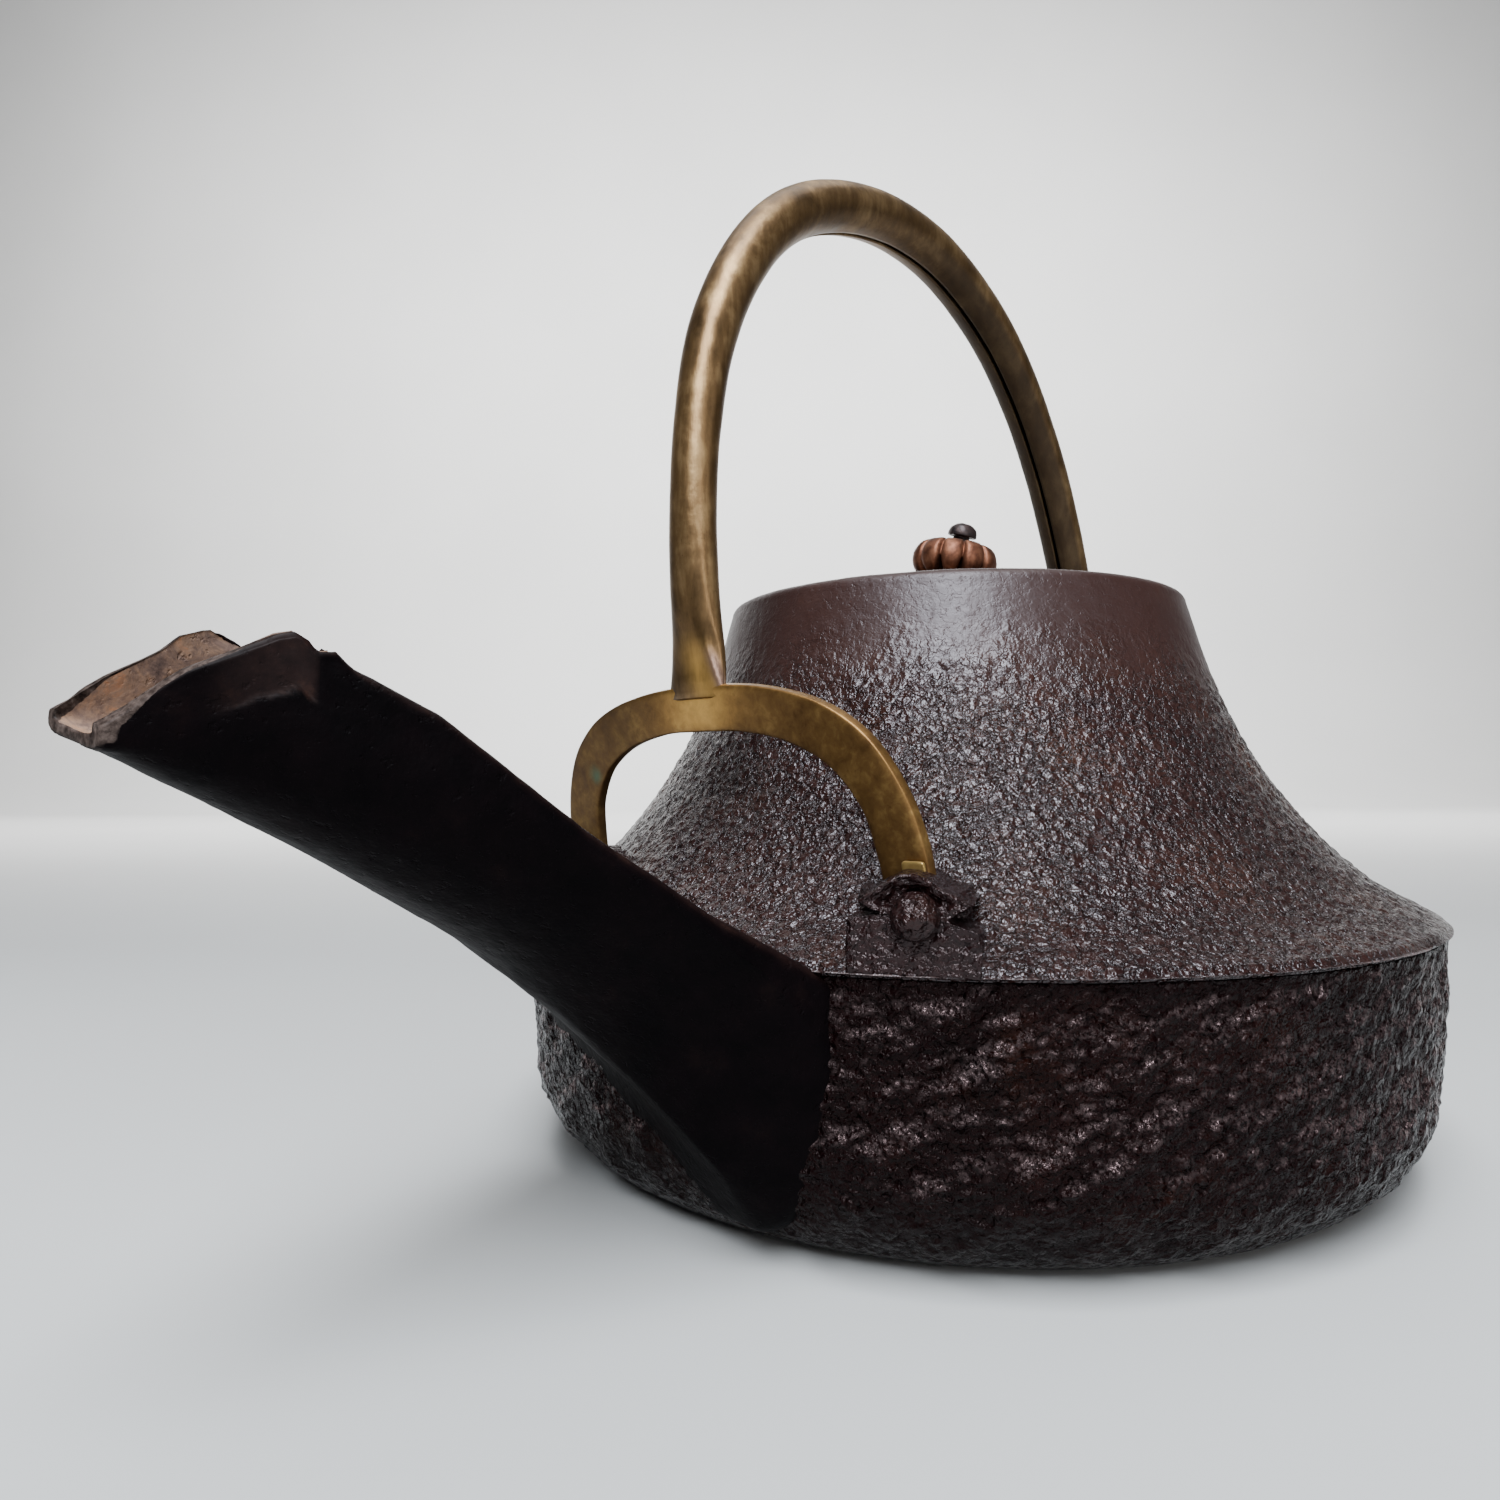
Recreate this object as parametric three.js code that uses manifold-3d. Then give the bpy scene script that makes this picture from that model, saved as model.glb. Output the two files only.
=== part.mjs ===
// A cast iron kettle with a mountain-shaped body, a long open-tipped spout and a
// three-legged brass handle. Millimetres, +Z up, spout towards -X.
// The origin is the centre of the flat base, on the surface that the kettle stands on.

import * as THREE from 'three';
import { mergeVertices } from 'three/addons/utils/BufferGeometryUtils.js';
import Module from 'manifold-3d';

const wasm = await Module();
wasm.setup();

// Body: drum, sharp shoulder rim, mountain slope, neck and mouth
const BASE_RADIUS = 73;
const DRUM_RADIUS = 92.4;
const DRUM_TOP_RADIUS = 93.6;
const CORNER_HEIGHT = 19.2;
const DRUM_TOP = 46.2;
const RIM_RADIUS = 95;
const RIM_BOTTOM = 46.5;
const RIM_TOP = 47.7;
const RIM_BEVEL = 0.4;
const SLOPE = [[93.9, 48.0], [81.9, 55.0], [70.5, 66.5], [61.0, 80.6], [54.2, 96.0], [49.6, 111.2]];
const NECK_CREST_RADIUS = 46.6;
const NECK_TOP = 113.4;
const SEAT_RADIUS = 44.6;
const SEAT_HEIGHT = 111.2;
const SEAT_BEVEL = 0.5;
const MOUTH_RADIUS = 39.6;
const MOUTH_BOTTOM = 105.5;
const WALL = 3.4;
const TURN_STEPS = 56;
const LID_STEPS = 48;
const SMALL_STEPS = 20;
const CLEARANCE = 0.3;
const ENVELOPE_SPARE = 10;

// Spout: a tapering trough, closed by a roof up to the oblique mouth
const SPOUT_ROOT = 78;
const SPOUT_TIP = 174.4;
const SPOUT_TIP_HALF_WIDTH = 6.4;
const SPOUT_FLARE = 0.32;
const SPOUT_TOP = [
  [SPOUT_ROOT, 42.6], [87, 47.2], [103.5, 56.5], [121.2, 69.0], [138.9, 83.8], [150, 90.2],
  [152.4, 91.0], [154.6, 93.4], [160.3, 91.0], [168.3, 86.4], [SPOUT_TIP, 82.9],
];
const SPOUT_KEEL = [
  [SPOUT_ROOT, 5.2], [86, 5.5], [90, 10.3], [94, 16.3], [99, 24.6], [105, 33.4],
  [112, 41.3], [121, 49.6], [132.5, 57.0], [150.5, 67.6], [168, 76.9], [SPOUT_TIP, 80.1],
];
const SPOUT_STATIONS = [
  SPOUT_ROOT, 83, 86.5, 90, 94, 98, 102, 106, 112, 119, 127, 136, 144, 150,
  152.4, 154.6, 158, 163, 168, 171.5, SPOUT_TIP,
];
// Shape of the trough: share of the height taken by the rounded keel, how pointed it is, and how
// far it lies to the -Y side of the middle
const SPOUT_KEEL_SHARE = [[86, 0.72], [97, 0.85], [118, 0.85], [150, 0.62]];
const SPOUT_KEEL_POINT = [[86, 1.4], [97, 2.6], [118, 1.5], [150, 0.9]];
const SPOUT_SIDE_POWER = [[86, 0.96], [97, 1.45], [118, 1.0], [150, 0.9]];
const SPOUT_KEEL_SKEW = [[86, 19.0], [94, 20.0], [105, 6.9], [118, 0]];
const SPOUT_WALL_ROOT = 3.0;
const SPOUT_WALL_TIP = 1.5;
const SPOUT_MOUTH_START = 150.4;
const SPOUT_OPEN_STATIONS = [SPOUT_MOUTH_START + 0.4, 158, 166, SPOUT_TIP + 3];
const SPOUT_CUT_HEIGHT = 12;
const SPOUT_ROOF_CROWN = 0.11;
const SPOUT_CROWN_FADE = 40;
const SPOUT_ROLL_START = 122;
const SPOUT_ROLL_TIP = THREE.MathUtils.degToRad(12);
const SPOUT_ROLL_POWER = 1.6;
const SPOUT_HOLE = { radius: 9, side: -5, height: 34, length: 30 };

// Lugs: three cast blocks on the shoulder, each with a winged hood
const LUG_FACE_RADIUS = 94.2;
const LUG_ANGLE = THREE.MathUtils.degToRad(29);
const LUG_DEPTH = 18;
const LUG_HALF_WIDTH = 10;
const LUG_ROOT = 47.0;
const LUG_BLOCK_TOP = 55.0;
const LUG_HOOD = [[8.8, 57.6], [8.2, 58.5], [4.6, 60.2], [0, 61.1]];
const LUG_WAIST = [[0, 5.2], [4.5, 5.6], [7.5, 8.6], [18, 8.7]];
const LUG_WAIST_TOP = 56.4;
const LUG_BACK_GROWTH = 1.03;
const PIN_BALL_RADIUS = 3.3;
const PIN_BALL_HEIGHT = 56.2;
const PIN_BALL_SET_BACK = -0.6;
const PIN_RADIUS = 1.0;
const PIN_LENGTH = 16;
const PIN_RISE = THREE.MathUtils.degToRad(13);

// Fork of the handle: a flat brass arch across the spout, leaning outwards at its crown
const FORK_THICKNESS = 2.6;
const FORK_LEAN = THREE.MathUtils.degToRad(13.1);
const FORK_DATUM_X = -82.7;
const FORK_DATUM_Z = 105;
const FORK_OUTER = [
  [0, -13.8], [14.5, -15.0], [26.4, -18.1], [35.1, -23.8], [40.4, -32], [42.9, -41], [43.3, -49.6],
];
const FORK_INNER = [
  [0, -22.3], [9.5, -22.6], [19.5, -24.7], [27.2, -28.9], [31.9, -35], [33.5, -41], [34.6, -49.6],
];
const FORK_NOTCH = { depth: 9, height: 6 };
const WEDGE_LATERAL = [37.3, 41.7];
const WEDGE_RISE = [-45.4, -42.2];
const WEDGE_THICKNESS = 0.8;

// Handle tube: brass sheet rolled round, with an open seam along its underside
const TUBE_PATH = [
  [-79.4, 90.0], [-79.3, 97], [-80.1, 110], [-80.2, 122], [-79.2, 135.8], [-76.3, 150.7],
  [-70.6, 164], [-61.8, 176.2], [-51, 185], [-37, 190.8], [-22, 193.4], [-6, 192.4],
  [9.5, 187.2], [22.9, 179.2], [35, 167.6], [44.8, 154.2], [52.3, 140], [58.6, 125],
  [66, 106], [73.4, 88], [80.6, 70], [82.2, 64], [82.4, 56.4],
];
const TUBE_STEPS = 38;
const TUBE_SIDES = 14;
const TUBE_WALL = 1.0;
const TUBE_SEAM = THREE.MathUtils.degToRad(7);
const TUBE_FLATTENED_UNDERSIDE = 0.86;
const TUBE_HALF_WIDTH = [
  [0, 7.0], [0.02, 6.4], [0.06, 4.9], [0.14, 4.5], [0.22, 4.9], [0.32, 5.4],
  [0.45, 5.6], [0.7, 5.4], [0.88, 5.2], [0.94, 5.0], [1, 4.8],
];
const TUBE_HALF_DEPTH = [
  [0, 2.3], [0.02, 2.9], [0.06, 4.2], [0.14, 4.4], [0.22, 4.9], [0.32, 5.4],
  [0.45, 5.6], [0.7, 5.4], [0.88, 5.2], [0.94, 3.2], [0.965, 2.0], [1, 1.8],
];
const TANG_POCKET = { wider: 0.45, thicker: 0.6, height: 20 };

// Lid and knob
const LID_RADIUS = 44.0;
const LID_UNDERSIDE = 111.5;
const LID_EDGE_TOP = 113.5;
const LID_CENTRE_TOP = 118.4;
const LID_THICKNESS = 2.1;
const LID_BEVEL = 0.6;
const LID_RING = { outer: 38.9, inner: 37.5, bottom: 104, top: 111.2 };
const NAIL_HOLE_RADIUS = 1.7;
const KNOB_WASHER = { radius: 5.2, bottom: 118.7, top: 119.5 };
const KNOB_RADIUS = 9.7;
const KNOB_BOTTOM = 119.8;
const KNOB_TOP = 129.7;
const KNOB_PETALS = 10;
const KNOB_GROOVE = 0.16;
const NAIL_SHANK_RADIUS = 1.3;
const NAIL_EDGE = 0.4;
const NAIL_HEAD = { radius: 3.1, bottom: 130.0, top: 132.8 };
const NAIL_CLENCH = { radius: 2.3, bottom: 114.1, top: 114.9 };
const CLENCH_WASHER = { radius: 4.2, bottom: 115.2, top: 116.0 };

// Finishes
function finish(color, roughness, metalness) {
  return new THREE.MeshStandardMaterial({ color, roughness, metalness });
}

const IRON = () => finish(0x3a2a27, 0.42, 0.75);
const DARK_IRON = () => finish(0x241b1a, 0.5, 0.7);
const BRASS = () => finish(0x8a6a3a, 0.42, 0.9);
const BRIGHT_BRASS = () => finish(0xa67c34, 0.38, 0.9);
const COPPER = () => finish(0x7c4632, 0.4, 0.9);
const BRONZE = () => finish(0x5a3d2c, 0.45, 0.85);

const kettle = new THREE.Group();

function addPiece(name, geometry, material) {
  geometry.computeVertexNormals();
  const piece = new THREE.Mesh(geometry, material);
  piece.name = name;
  kettle.add(piece);
}

// Solids and booleans
function toSolid(geometry) {
  const bare = geometry.clone();
  bare.deleteAttribute('normal');
  bare.deleteAttribute('uv');
  const merged = mergeVertices(bare, 1e-4);
  const corners = merged.index.array;
  const kept = [];
  for (let i = 0; i < corners.length; i += 3) {
    const [a, b, c] = [corners[i], corners[i + 1], corners[i + 2]];
    if (a !== b && b !== c && c !== a) kept.push(a, b, c);
  }
  const vertProperties = new Float32Array(merged.attributes.position.array);
  const triVerts = new Uint32Array(kept);
  return new wasm.Manifold(new wasm.Mesh({ numProp: 3, vertProperties, triVerts }));
}

function toGeometry(solid) {
  const mesh = solid.getMesh();
  const geometry = new THREE.BufferGeometry();
  geometry.setAttribute('position', new THREE.Float32BufferAttribute(mesh.vertProperties, 3));
  geometry.setIndex(new THREE.Uint32BufferAttribute(mesh.triVerts, 1));
  return geometry;
}

function cutFrom(geometry, tools) {
  let solid = toSolid(geometry);
  for (const tool of tools) solid = solid.subtract(tool);
  return toGeometry(solid);
}

function signedVolume(position, triangles) {
  const corner = (i) => new THREE.Vector3().fromBufferAttribute(position, triangles[i]);
  let volume = 0;
  for (let i = 0; i < triangles.length; i += 3) {
    volume += corner(i).dot(corner(i + 1).cross(corner(i + 2))) / 6;
  }
  return volume;
}

// A closed body through a list of rings of Vector3, with a flat cap at each end
function loft(rings, capOutline) {
  const sides = rings[0].length;
  const position = new THREE.Float32BufferAttribute(rings.flat().flatMap((point) => point.toArray()), 3);
  const triangles = [];
  for (let ring = 0; ring + 1 < rings.length; ring++) {
    for (let side = 0; side < sides; side++) {
      const a = ring * sides + side;
      const b = ring * sides + ((side + 1) % sides);
      triangles.push(a, b, b + sides, a, b + sides, a + sides);
    }
  }
  const cap = THREE.ShapeUtils.triangulateShape(capOutline, []);
  const last = (rings.length - 1) * sides;
  const clockwise = THREE.ShapeUtils.isClockWise(capOutline);
  for (const [a, b, c] of cap) {
    triangles.push(...(clockwise ? [a, b, c] : [a, c, b]));
    triangles.push(...(clockwise ? [last + a, last + c, last + b] : [last + a, last + b, last + c]));
  }
  if (signedVolume(position, triangles) < 0) triangles.reverse();
  const geometry = new THREE.BufferGeometry();
  geometry.setAttribute('position', position);
  geometry.setIndex(triangles);
  return geometry;
}

// A profile of [radius, height] pairs turned about the Z axis
function turned(profile, steps = TURN_STEPS) {
  const points = profile.map(([radius, height]) => new THREE.Vector2(radius, height));
  return new THREE.LatheGeometry(points, steps).rotateX(Math.PI / 2);
}

function washer({ radius, bottom, top }) {
  const hole = NAIL_HOLE_RADIUS;
  const outline = [[hole, bottom], [radius, bottom], [radius, top], [hole, top], [hole, bottom]];
  return turned(outline, SMALL_STEPS);
}

// Straight-line reading of a table of [at, value] pairs
function readOff(table, at) {
  const last = table.length - 1;
  if (at <= table[0][0]) return table[0][1];
  for (let i = 0; i < last; i++) {
    const [from, low] = table[i];
    const [to, high] = table[i + 1];
    if (at <= to) return THREE.MathUtils.mapLinear(at, from, to, low, high);
  }
  return table[last][1];
}

const smoothCurve = (pairs) => new THREE.SplineCurve(pairs.map(([a, b]) => new THREE.Vector2(a, b)));

// Body
function drumProfile() {
  const wall = [];
  for (let step = 0; step <= 5; step++) {
    const angle = (step / 5) * Math.PI / 2;
    wall.push([
      BASE_RADIUS + (DRUM_RADIUS - BASE_RADIUS) * Math.sin(angle),
      CORNER_HEIGHT * (1 - Math.cos(angle)),
    ]);
  }
  return [...wall, [DRUM_TOP_RADIUS, DRUM_TOP]];
}

function rimProfile() {
  return [
    [RIM_RADIUS - RIM_BEVEL, RIM_BOTTOM],
    [RIM_RADIUS, RIM_BOTTOM + RIM_BEVEL],
    [RIM_RADIUS, RIM_TOP - RIM_BEVEL],
  ];
}

const slopeProfile = () => smoothCurve(SLOPE).getPoints(10).map((point) => [point.x, point.y]);

function offsetProfile(profile, inwards) {
  return profile.map(([radius, height], i) => {
    const before = profile[Math.max(i - 1, 0)];
    const after = profile[Math.min(i + 1, profile.length - 1)];
    const along = new THREE.Vector2(after[0] - before[0], after[1] - before[1]).normalize();
    return [radius - along.y * inwards, height + along.x * inwards];
  });
}

function neckCrest() {
  const [neckRadius, neckHeight] = SLOPE.at(-1);
  const crest = [];
  for (let step = 1; step <= 3; step++) {
    const angle = (step / 3) * Math.PI / 2;
    crest.push([
      NECK_CREST_RADIUS + (neckRadius - NECK_CREST_RADIUS) * Math.cos(angle),
      neckHeight + (NECK_TOP - neckHeight) * Math.sin(angle),
    ]);
  }
  const seat = [
    [SEAT_RADIUS, NECK_TOP - SEAT_BEVEL],
    [SEAT_RADIUS, SEAT_HEIGHT],
    [MOUTH_RADIUS, SEAT_HEIGHT],
  ];
  return [...crest, ...seat];
}

function bodyEnvelope() {
  const sides = [...drumProfile(), ...rimProfile(), ...slopeProfile()];
  const outline = offsetProfile(sides, -CLEARANCE);
  const [topRadius, topHeight] = outline.at(-1);
  const below = [[0, -ENVELOPE_SPARE], [BASE_RADIUS, -ENVELOPE_SPARE]];
  const above = [[topRadius, topHeight + ENVELOPE_SPARE], [0, topHeight + ENVELOPE_SPARE]];
  return toSolid(turned([...below, ...outline, ...above]));
}

function spoutHole() {
  const { radius, side, height, length } = SPOUT_HOLE;
  const drill = new THREE.CylinderGeometry(radius, radius, length, SMALL_STEPS);
  return toSolid(drill.rotateZ(Math.PI / 2).translate(-DRUM_RADIUS, side, height));
}

// The body is parted at its rim, where its two mould halves met
function bodyDrum() {
  const outside = drumProfile();
  const inside = offsetProfile(outside, WALL).map(([radius, height]) => [radius, Math.max(height, WALL)]);
  inside.at(-1)[1] = DRUM_TOP;
  return cutFrom(turned([[0, 0], ...outside, ...inside.reverse(), [0, WALL]]), [spoutHole()]);
}

function bodyShoulder() {
  const slope = slopeProfile();
  const foot = [DRUM_TOP_RADIUS - WALL, RIM_BOTTOM];
  const inside = offsetProfile(slope, WALL)
    .filter(([, height]) => height > RIM_BOTTOM && height < MOUTH_BOTTOM - WALL);
  const outside = [foot, ...rimProfile(), ...slope, ...neckCrest(), [MOUTH_RADIUS, MOUTH_BOTTOM]];
  return turned([...outside, ...inside.reverse(), foot]);
}

// Spout. A section at distance s from the axis is a trough: straight sides on a rounded keel
function spoutSection(s, inset, top) {
  const halfWidth = SPOUT_TIP_HALF_WIDTH + SPOUT_FLARE * (SPOUT_TIP - s) - inset;
  const keel = spoutKeel(s) + inset;
  const keelDepth = readOff(SPOUT_KEEL_SHARE, s) * (top - keel);
  const sidePower = readOff(SPOUT_SIDE_POWER, s);
  const keelPoint = readOff(SPOUT_KEEL_POINT, s);
  const crownFade = THREE.MathUtils.smoothstep(SPOUT_MOUTH_START - s, 0, SPOUT_CROWN_FADE);
  const crown = halfWidth * SPOUT_ROOF_CROWN * crownFade;
  const keelSide = -readOff(SPOUT_KEEL_SKEW, s);
  const outline = [];
  for (let step = 0; step <= 16; step++) {
    const angle = (step / 16) * Math.PI;
    const side = Math.sign(Math.cos(angle));
    const reach = (halfWidth - side * keelSide) * Math.abs(Math.cos(angle)) ** sidePower;
    outline.push([keelSide + side * reach, keel + keelDepth * (1 - Math.sin(angle) ** keelPoint)]);
  }
  for (let step = 0; step <= 4; step++) {
    const share = -1 + step / 2;
    outline.push([halfWidth * share, top + crown * (1 - share * share)]);
  }
  const rollShare = Math.max(0, (s - SPOUT_ROLL_START) / (SPOUT_TIP - SPOUT_ROLL_START));
  const roll = SPOUT_ROLL_TIP * rollShare ** SPOUT_ROLL_POWER;
  const centre = (keel + spoutTop(s)) / 2;
  return outline.map(([across, height]) => {
    const lifted = height - centre;
    const y = across * Math.cos(roll) - lifted * Math.sin(roll);
    return new THREE.Vector3(-s, y, centre + across * Math.sin(roll) + lifted * Math.cos(roll));
  });
}

const spoutTop = (s) => readOff(SPOUT_TOP, s);
const spoutKeelCurve = smoothCurve(SPOUT_KEEL).getPoints(90).map((point) => [point.x, point.y]);
const spoutKeel = (s) => readOff(spoutKeelCurve, s);

function sectionCap(section) {
  return section.map((point) => new THREE.Vector2(point.y, point.z));
}

function spout() {
  const outer = SPOUT_STATIONS.map((s) => spoutSection(s, 0, spoutTop(s)));
  const closedStations = SPOUT_STATIONS.filter((s) => s < SPOUT_MOUTH_START);
  const wallAt = (s) => THREE.MathUtils.mapLinear(s, SPOUT_ROOT, SPOUT_TIP, SPOUT_WALL_ROOT, SPOUT_WALL_TIP);
  const channel = [
    ...closedStations.map((s) => spoutSection(s, wallAt(s), spoutTop(s) - wallAt(s))),
    ...SPOUT_OPEN_STATIONS.map((s) => spoutSection(s, wallAt(s), spoutTop(s) + SPOUT_CUT_HEIGHT)),
  ];
  const blank = loft(outer, sectionCap(outer[0]));
  return cutFrom(blank, [toSolid(loft(channel, sectionCap(channel[0]))), bodyEnvelope()]);
}

// Fork of the handle, drawn flat (x sideways, y up) and then set at its place and lean
function forkOutline(spread, length) {
  const widen = (points, by) => points.map(([across, up]) => [across + by, up]);
  const outer = widen(FORK_OUTER, spread);
  const inner = widen(FORK_INNER, -spread);
  outer[0][0] = 0;
  inner[0][0] = 0;
  const half = (points) => smoothCurve(points).getPoints(16);
  const mirrored = (points) => points.map((point) => new THREE.Vector2(-point.x, point.y));
  const outside = half(outer);
  const inside = half(inner);
  outside.at(-1).y -= length;
  inside.at(-1).y -= length;
  return new THREE.Shape([
    ...mirrored(outside).reverse(),
    ...outside.slice(1),
    ...inside.slice().reverse(),
    ...mirrored(inside).slice(1),
  ]);
}

function setOnFork(geometry) {
  const sideways = new THREE.Vector3(0, 1, 0);
  const upwards = new THREE.Vector3(-Math.sin(FORK_LEAN), 0, Math.cos(FORK_LEAN));
  const across = new THREE.Vector3().crossVectors(sideways, upwards);
  const place = new THREE.Matrix4().makeBasis(sideways, upwards, across);
  return geometry.applyMatrix4(place).translate(FORK_DATUM_X, 0, FORK_DATUM_Z);
}

function forkBand(thickness, spread, length) {
  const settings = { depth: thickness, bevelEnabled: false };
  const band = new THREE.ExtrudeGeometry(forkOutline(spread, length), settings);
  return setOnFork(band.translate(0, 0, -thickness / 2));
}

function forkPocket() {
  return toSolid(forkBand(FORK_THICKNESS + 2 * CLEARANCE, CLEARANCE, CLEARANCE));
}

function wedgeBlock(side, spare) {
  const [near, far] = WEDGE_LATERAL;
  const [low, high] = WEDGE_RISE;
  const width = far - near + 2 * spare;
  const block = new THREE.BoxGeometry(width, high - low + 2 * spare, WEDGE_THICKNESS + 2 * spare);
  const outFromBand = FORK_THICKNESS / 2 + CLEARANCE + WEDGE_THICKNESS / 2;
  return setOnFork(block.translate(side * (near + far) / 2, (low + high) / 2, -outFromBand));
}

// Lugs. Each is drawn facing -X at the end of the spout's axis, then turned to its place
function lugSection(depth) {
  const growth = THREE.MathUtils.mapLinear(depth, 0, LUG_DEPTH, 1, LUG_BACK_GROWTH);
  const waist = readOff(LUG_WAIST, depth);
  const right = [
    [LUG_HALF_WIDTH, LUG_ROOT],
    [LUG_HALF_WIDTH, LUG_BLOCK_TOP],
    [waist, LUG_BLOCK_TOP],
    [waist, LUG_WAIST_TOP],
    ...LUG_HOOD,
  ];
  const left = right.slice(0, -1).reverse().map(([across, height]) => [-across, height]);
  return [...right, ...left].map(([across, height]) => new THREE.Vector3(
    -LUG_FACE_RADIUS + depth,
    across * growth,
    PIN_BALL_HEIGHT + (height - PIN_BALL_HEIGHT) * growth,
  ));
}

function pinBlank(spare) {
  const ball = new THREE.SphereGeometry(PIN_BALL_RADIUS + spare, 14, 9);
  const length = PIN_LENGTH + spare;
  const shank = new THREE.CylinderGeometry(PIN_RADIUS + spare, PIN_RADIUS + spare, length, 10);
  shank.rotateZ(-Math.PI / 2).translate(length / 2, 0, 0).rotateY(-PIN_RISE);
  const centre = -LUG_FACE_RADIUS + PIN_BALL_SET_BACK;
  const joined = toSolid(ball).add(toSolid(shank));
  return joined.translate([centre, 0, PIN_BALL_HEIGHT]);
}

const turnedToPlace = (solid, angle) => solid.rotate([0, 0, THREE.MathUtils.radToDeg(angle)]);

function lug(angle, pockets) {
  const rings = LUG_WAIST.map(([depth]) => lugSection(depth));
  const block = toSolid(loft(rings, sectionCap(rings[0])));
  let solid = turnedToPlace(block.subtract(pinBlank(CLEARANCE)), angle).subtract(bodyEnvelope());
  for (const pocket of pockets) solid = solid.subtract(pocket);
  return toGeometry(solid);
}

const lugPin = (angle) => toGeometry(turnedToPlace(pinBlank(0), angle));
const pinHole = (angle) => turnedToPlace(pinBlank(CLEARANCE), angle);

// Handle tube. Sections run along the path: half width sideways, half depth in the arch's plane
function tubeSection(centre, tangent, halfWidth, halfDepth) {
  const outwards = new THREE.Vector3(-tangent.z, 0, tangent.x);
  const point = (angle, inset) => {
    const inside = Math.cos(angle) > 0 ? TUBE_FLATTENED_UNDERSIDE : 1;
    const depth = (halfDepth - inset) * inside * Math.cos(angle);
    const width = (halfWidth - inset) * Math.sin(angle);
    return centre.clone().addScaledVector(outwards, -depth).add(new THREE.Vector3(0, width, 0));
  };
  const ring = [];
  const sweep = 2 * (Math.PI - TUBE_SEAM);
  for (let side = 0; side <= TUBE_SIDES; side++) {
    ring.push(point(TUBE_SEAM + (sweep * side) / TUBE_SIDES, 0));
  }
  for (let side = TUBE_SIDES; side >= 0; side--) {
    ring.push(point(TUBE_SEAM + (sweep * side) / TUBE_SIDES, TUBE_WALL));
  }
  return ring;
}

function tubeBlank() {
  const path = new THREE.CatmullRomCurve3(TUBE_PATH.map(([x, z]) => new THREE.Vector3(x, 0, z)));
  const rings = [];
  for (let step = 0; step <= TUBE_STEPS; step++) {
    const along = step / TUBE_STEPS;
    rings.push(tubeSection(
      path.getPointAt(along),
      path.getTangentAt(along),
      readOff(TUBE_HALF_WIDTH, along),
      readOff(TUBE_HALF_DEPTH, along),
    ));
  }
  const origin = new THREE.Vector3();
  const upwards = new THREE.Vector3(0, 0, 1);
  const flat = tubeSection(origin, upwards, TUBE_HALF_WIDTH[0][1], TUBE_HALF_DEPTH[0][1]);
  return loft(rings, flat.map((point) => new THREE.Vector2(point.x, point.y)));
}

// Notch in the fork's crown, where the flattened front foot of the tube is let in
function footNotch() {
  const [footX, footZ] = TUBE_PATH[0];
  const { depth, height } = FORK_NOTCH;
  const notch = new THREE.BoxGeometry(depth, 2 * (TUBE_HALF_WIDTH[0][1] + CLEARANCE), height);
  return toSolid(notch.translate(footX, 0, footZ - CLEARANCE + height / 2));
}

// Pocket in the rear lug for the flattened rear foot of the tube
function rearPocket() {
  const [footX, footZ] = TUBE_PATH.at(-1);
  const { wider, thicker, height } = TANG_POCKET;
  const halfWidth = TUBE_HALF_WIDTH.at(-1)[1] + wider;
  const halfDepth = TUBE_HALF_DEPTH.at(-1)[1] + thicker;
  const pocket = new THREE.BoxGeometry(2 * halfDepth, 2 * halfWidth, height);
  return toSolid(pocket.translate(footX, 0, footZ - CLEARANCE + height / 2));
}

// Lid
const lidTop = (radius) => LID_CENTRE_TOP - (LID_CENTRE_TOP - LID_EDGE_TOP) * (radius / LID_RADIUS) ** 2;

function lidPlate() {
  const radii = (from, to) => [0, 1, 2, 3, 4].map((step) => THREE.MathUtils.lerp(from, to, step / 4));
  const underside = radii(NAIL_HOLE_RADIUS, LID_RING.inner - LID_BEVEL)
    .map((radius) => [radius, lidTop(radius) - LID_THICKNESS]);
  const top = radii(LID_RADIUS - LID_BEVEL, NAIL_HOLE_RADIUS).map((radius) => [radius, lidTop(radius)]);
  const edge = [
    [LID_RING.inner, LID_UNDERSIDE],
    [LID_RADIUS, LID_UNDERSIDE],
    [LID_RADIUS, LID_EDGE_TOP - LID_BEVEL],
  ];
  return turned([...underside, ...edge, ...top, underside[0]], LID_STEPS);
}

function lidRing() {
  const { outer, inner, bottom, top } = LID_RING;
  const outline = [
    [inner, bottom],
    [outer - LID_BEVEL, bottom],
    [outer, bottom + LID_BEVEL],
    [outer, top],
    [inner, top],
    [inner, bottom],
  ];
  return turned(outline, LID_STEPS);
}

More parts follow.
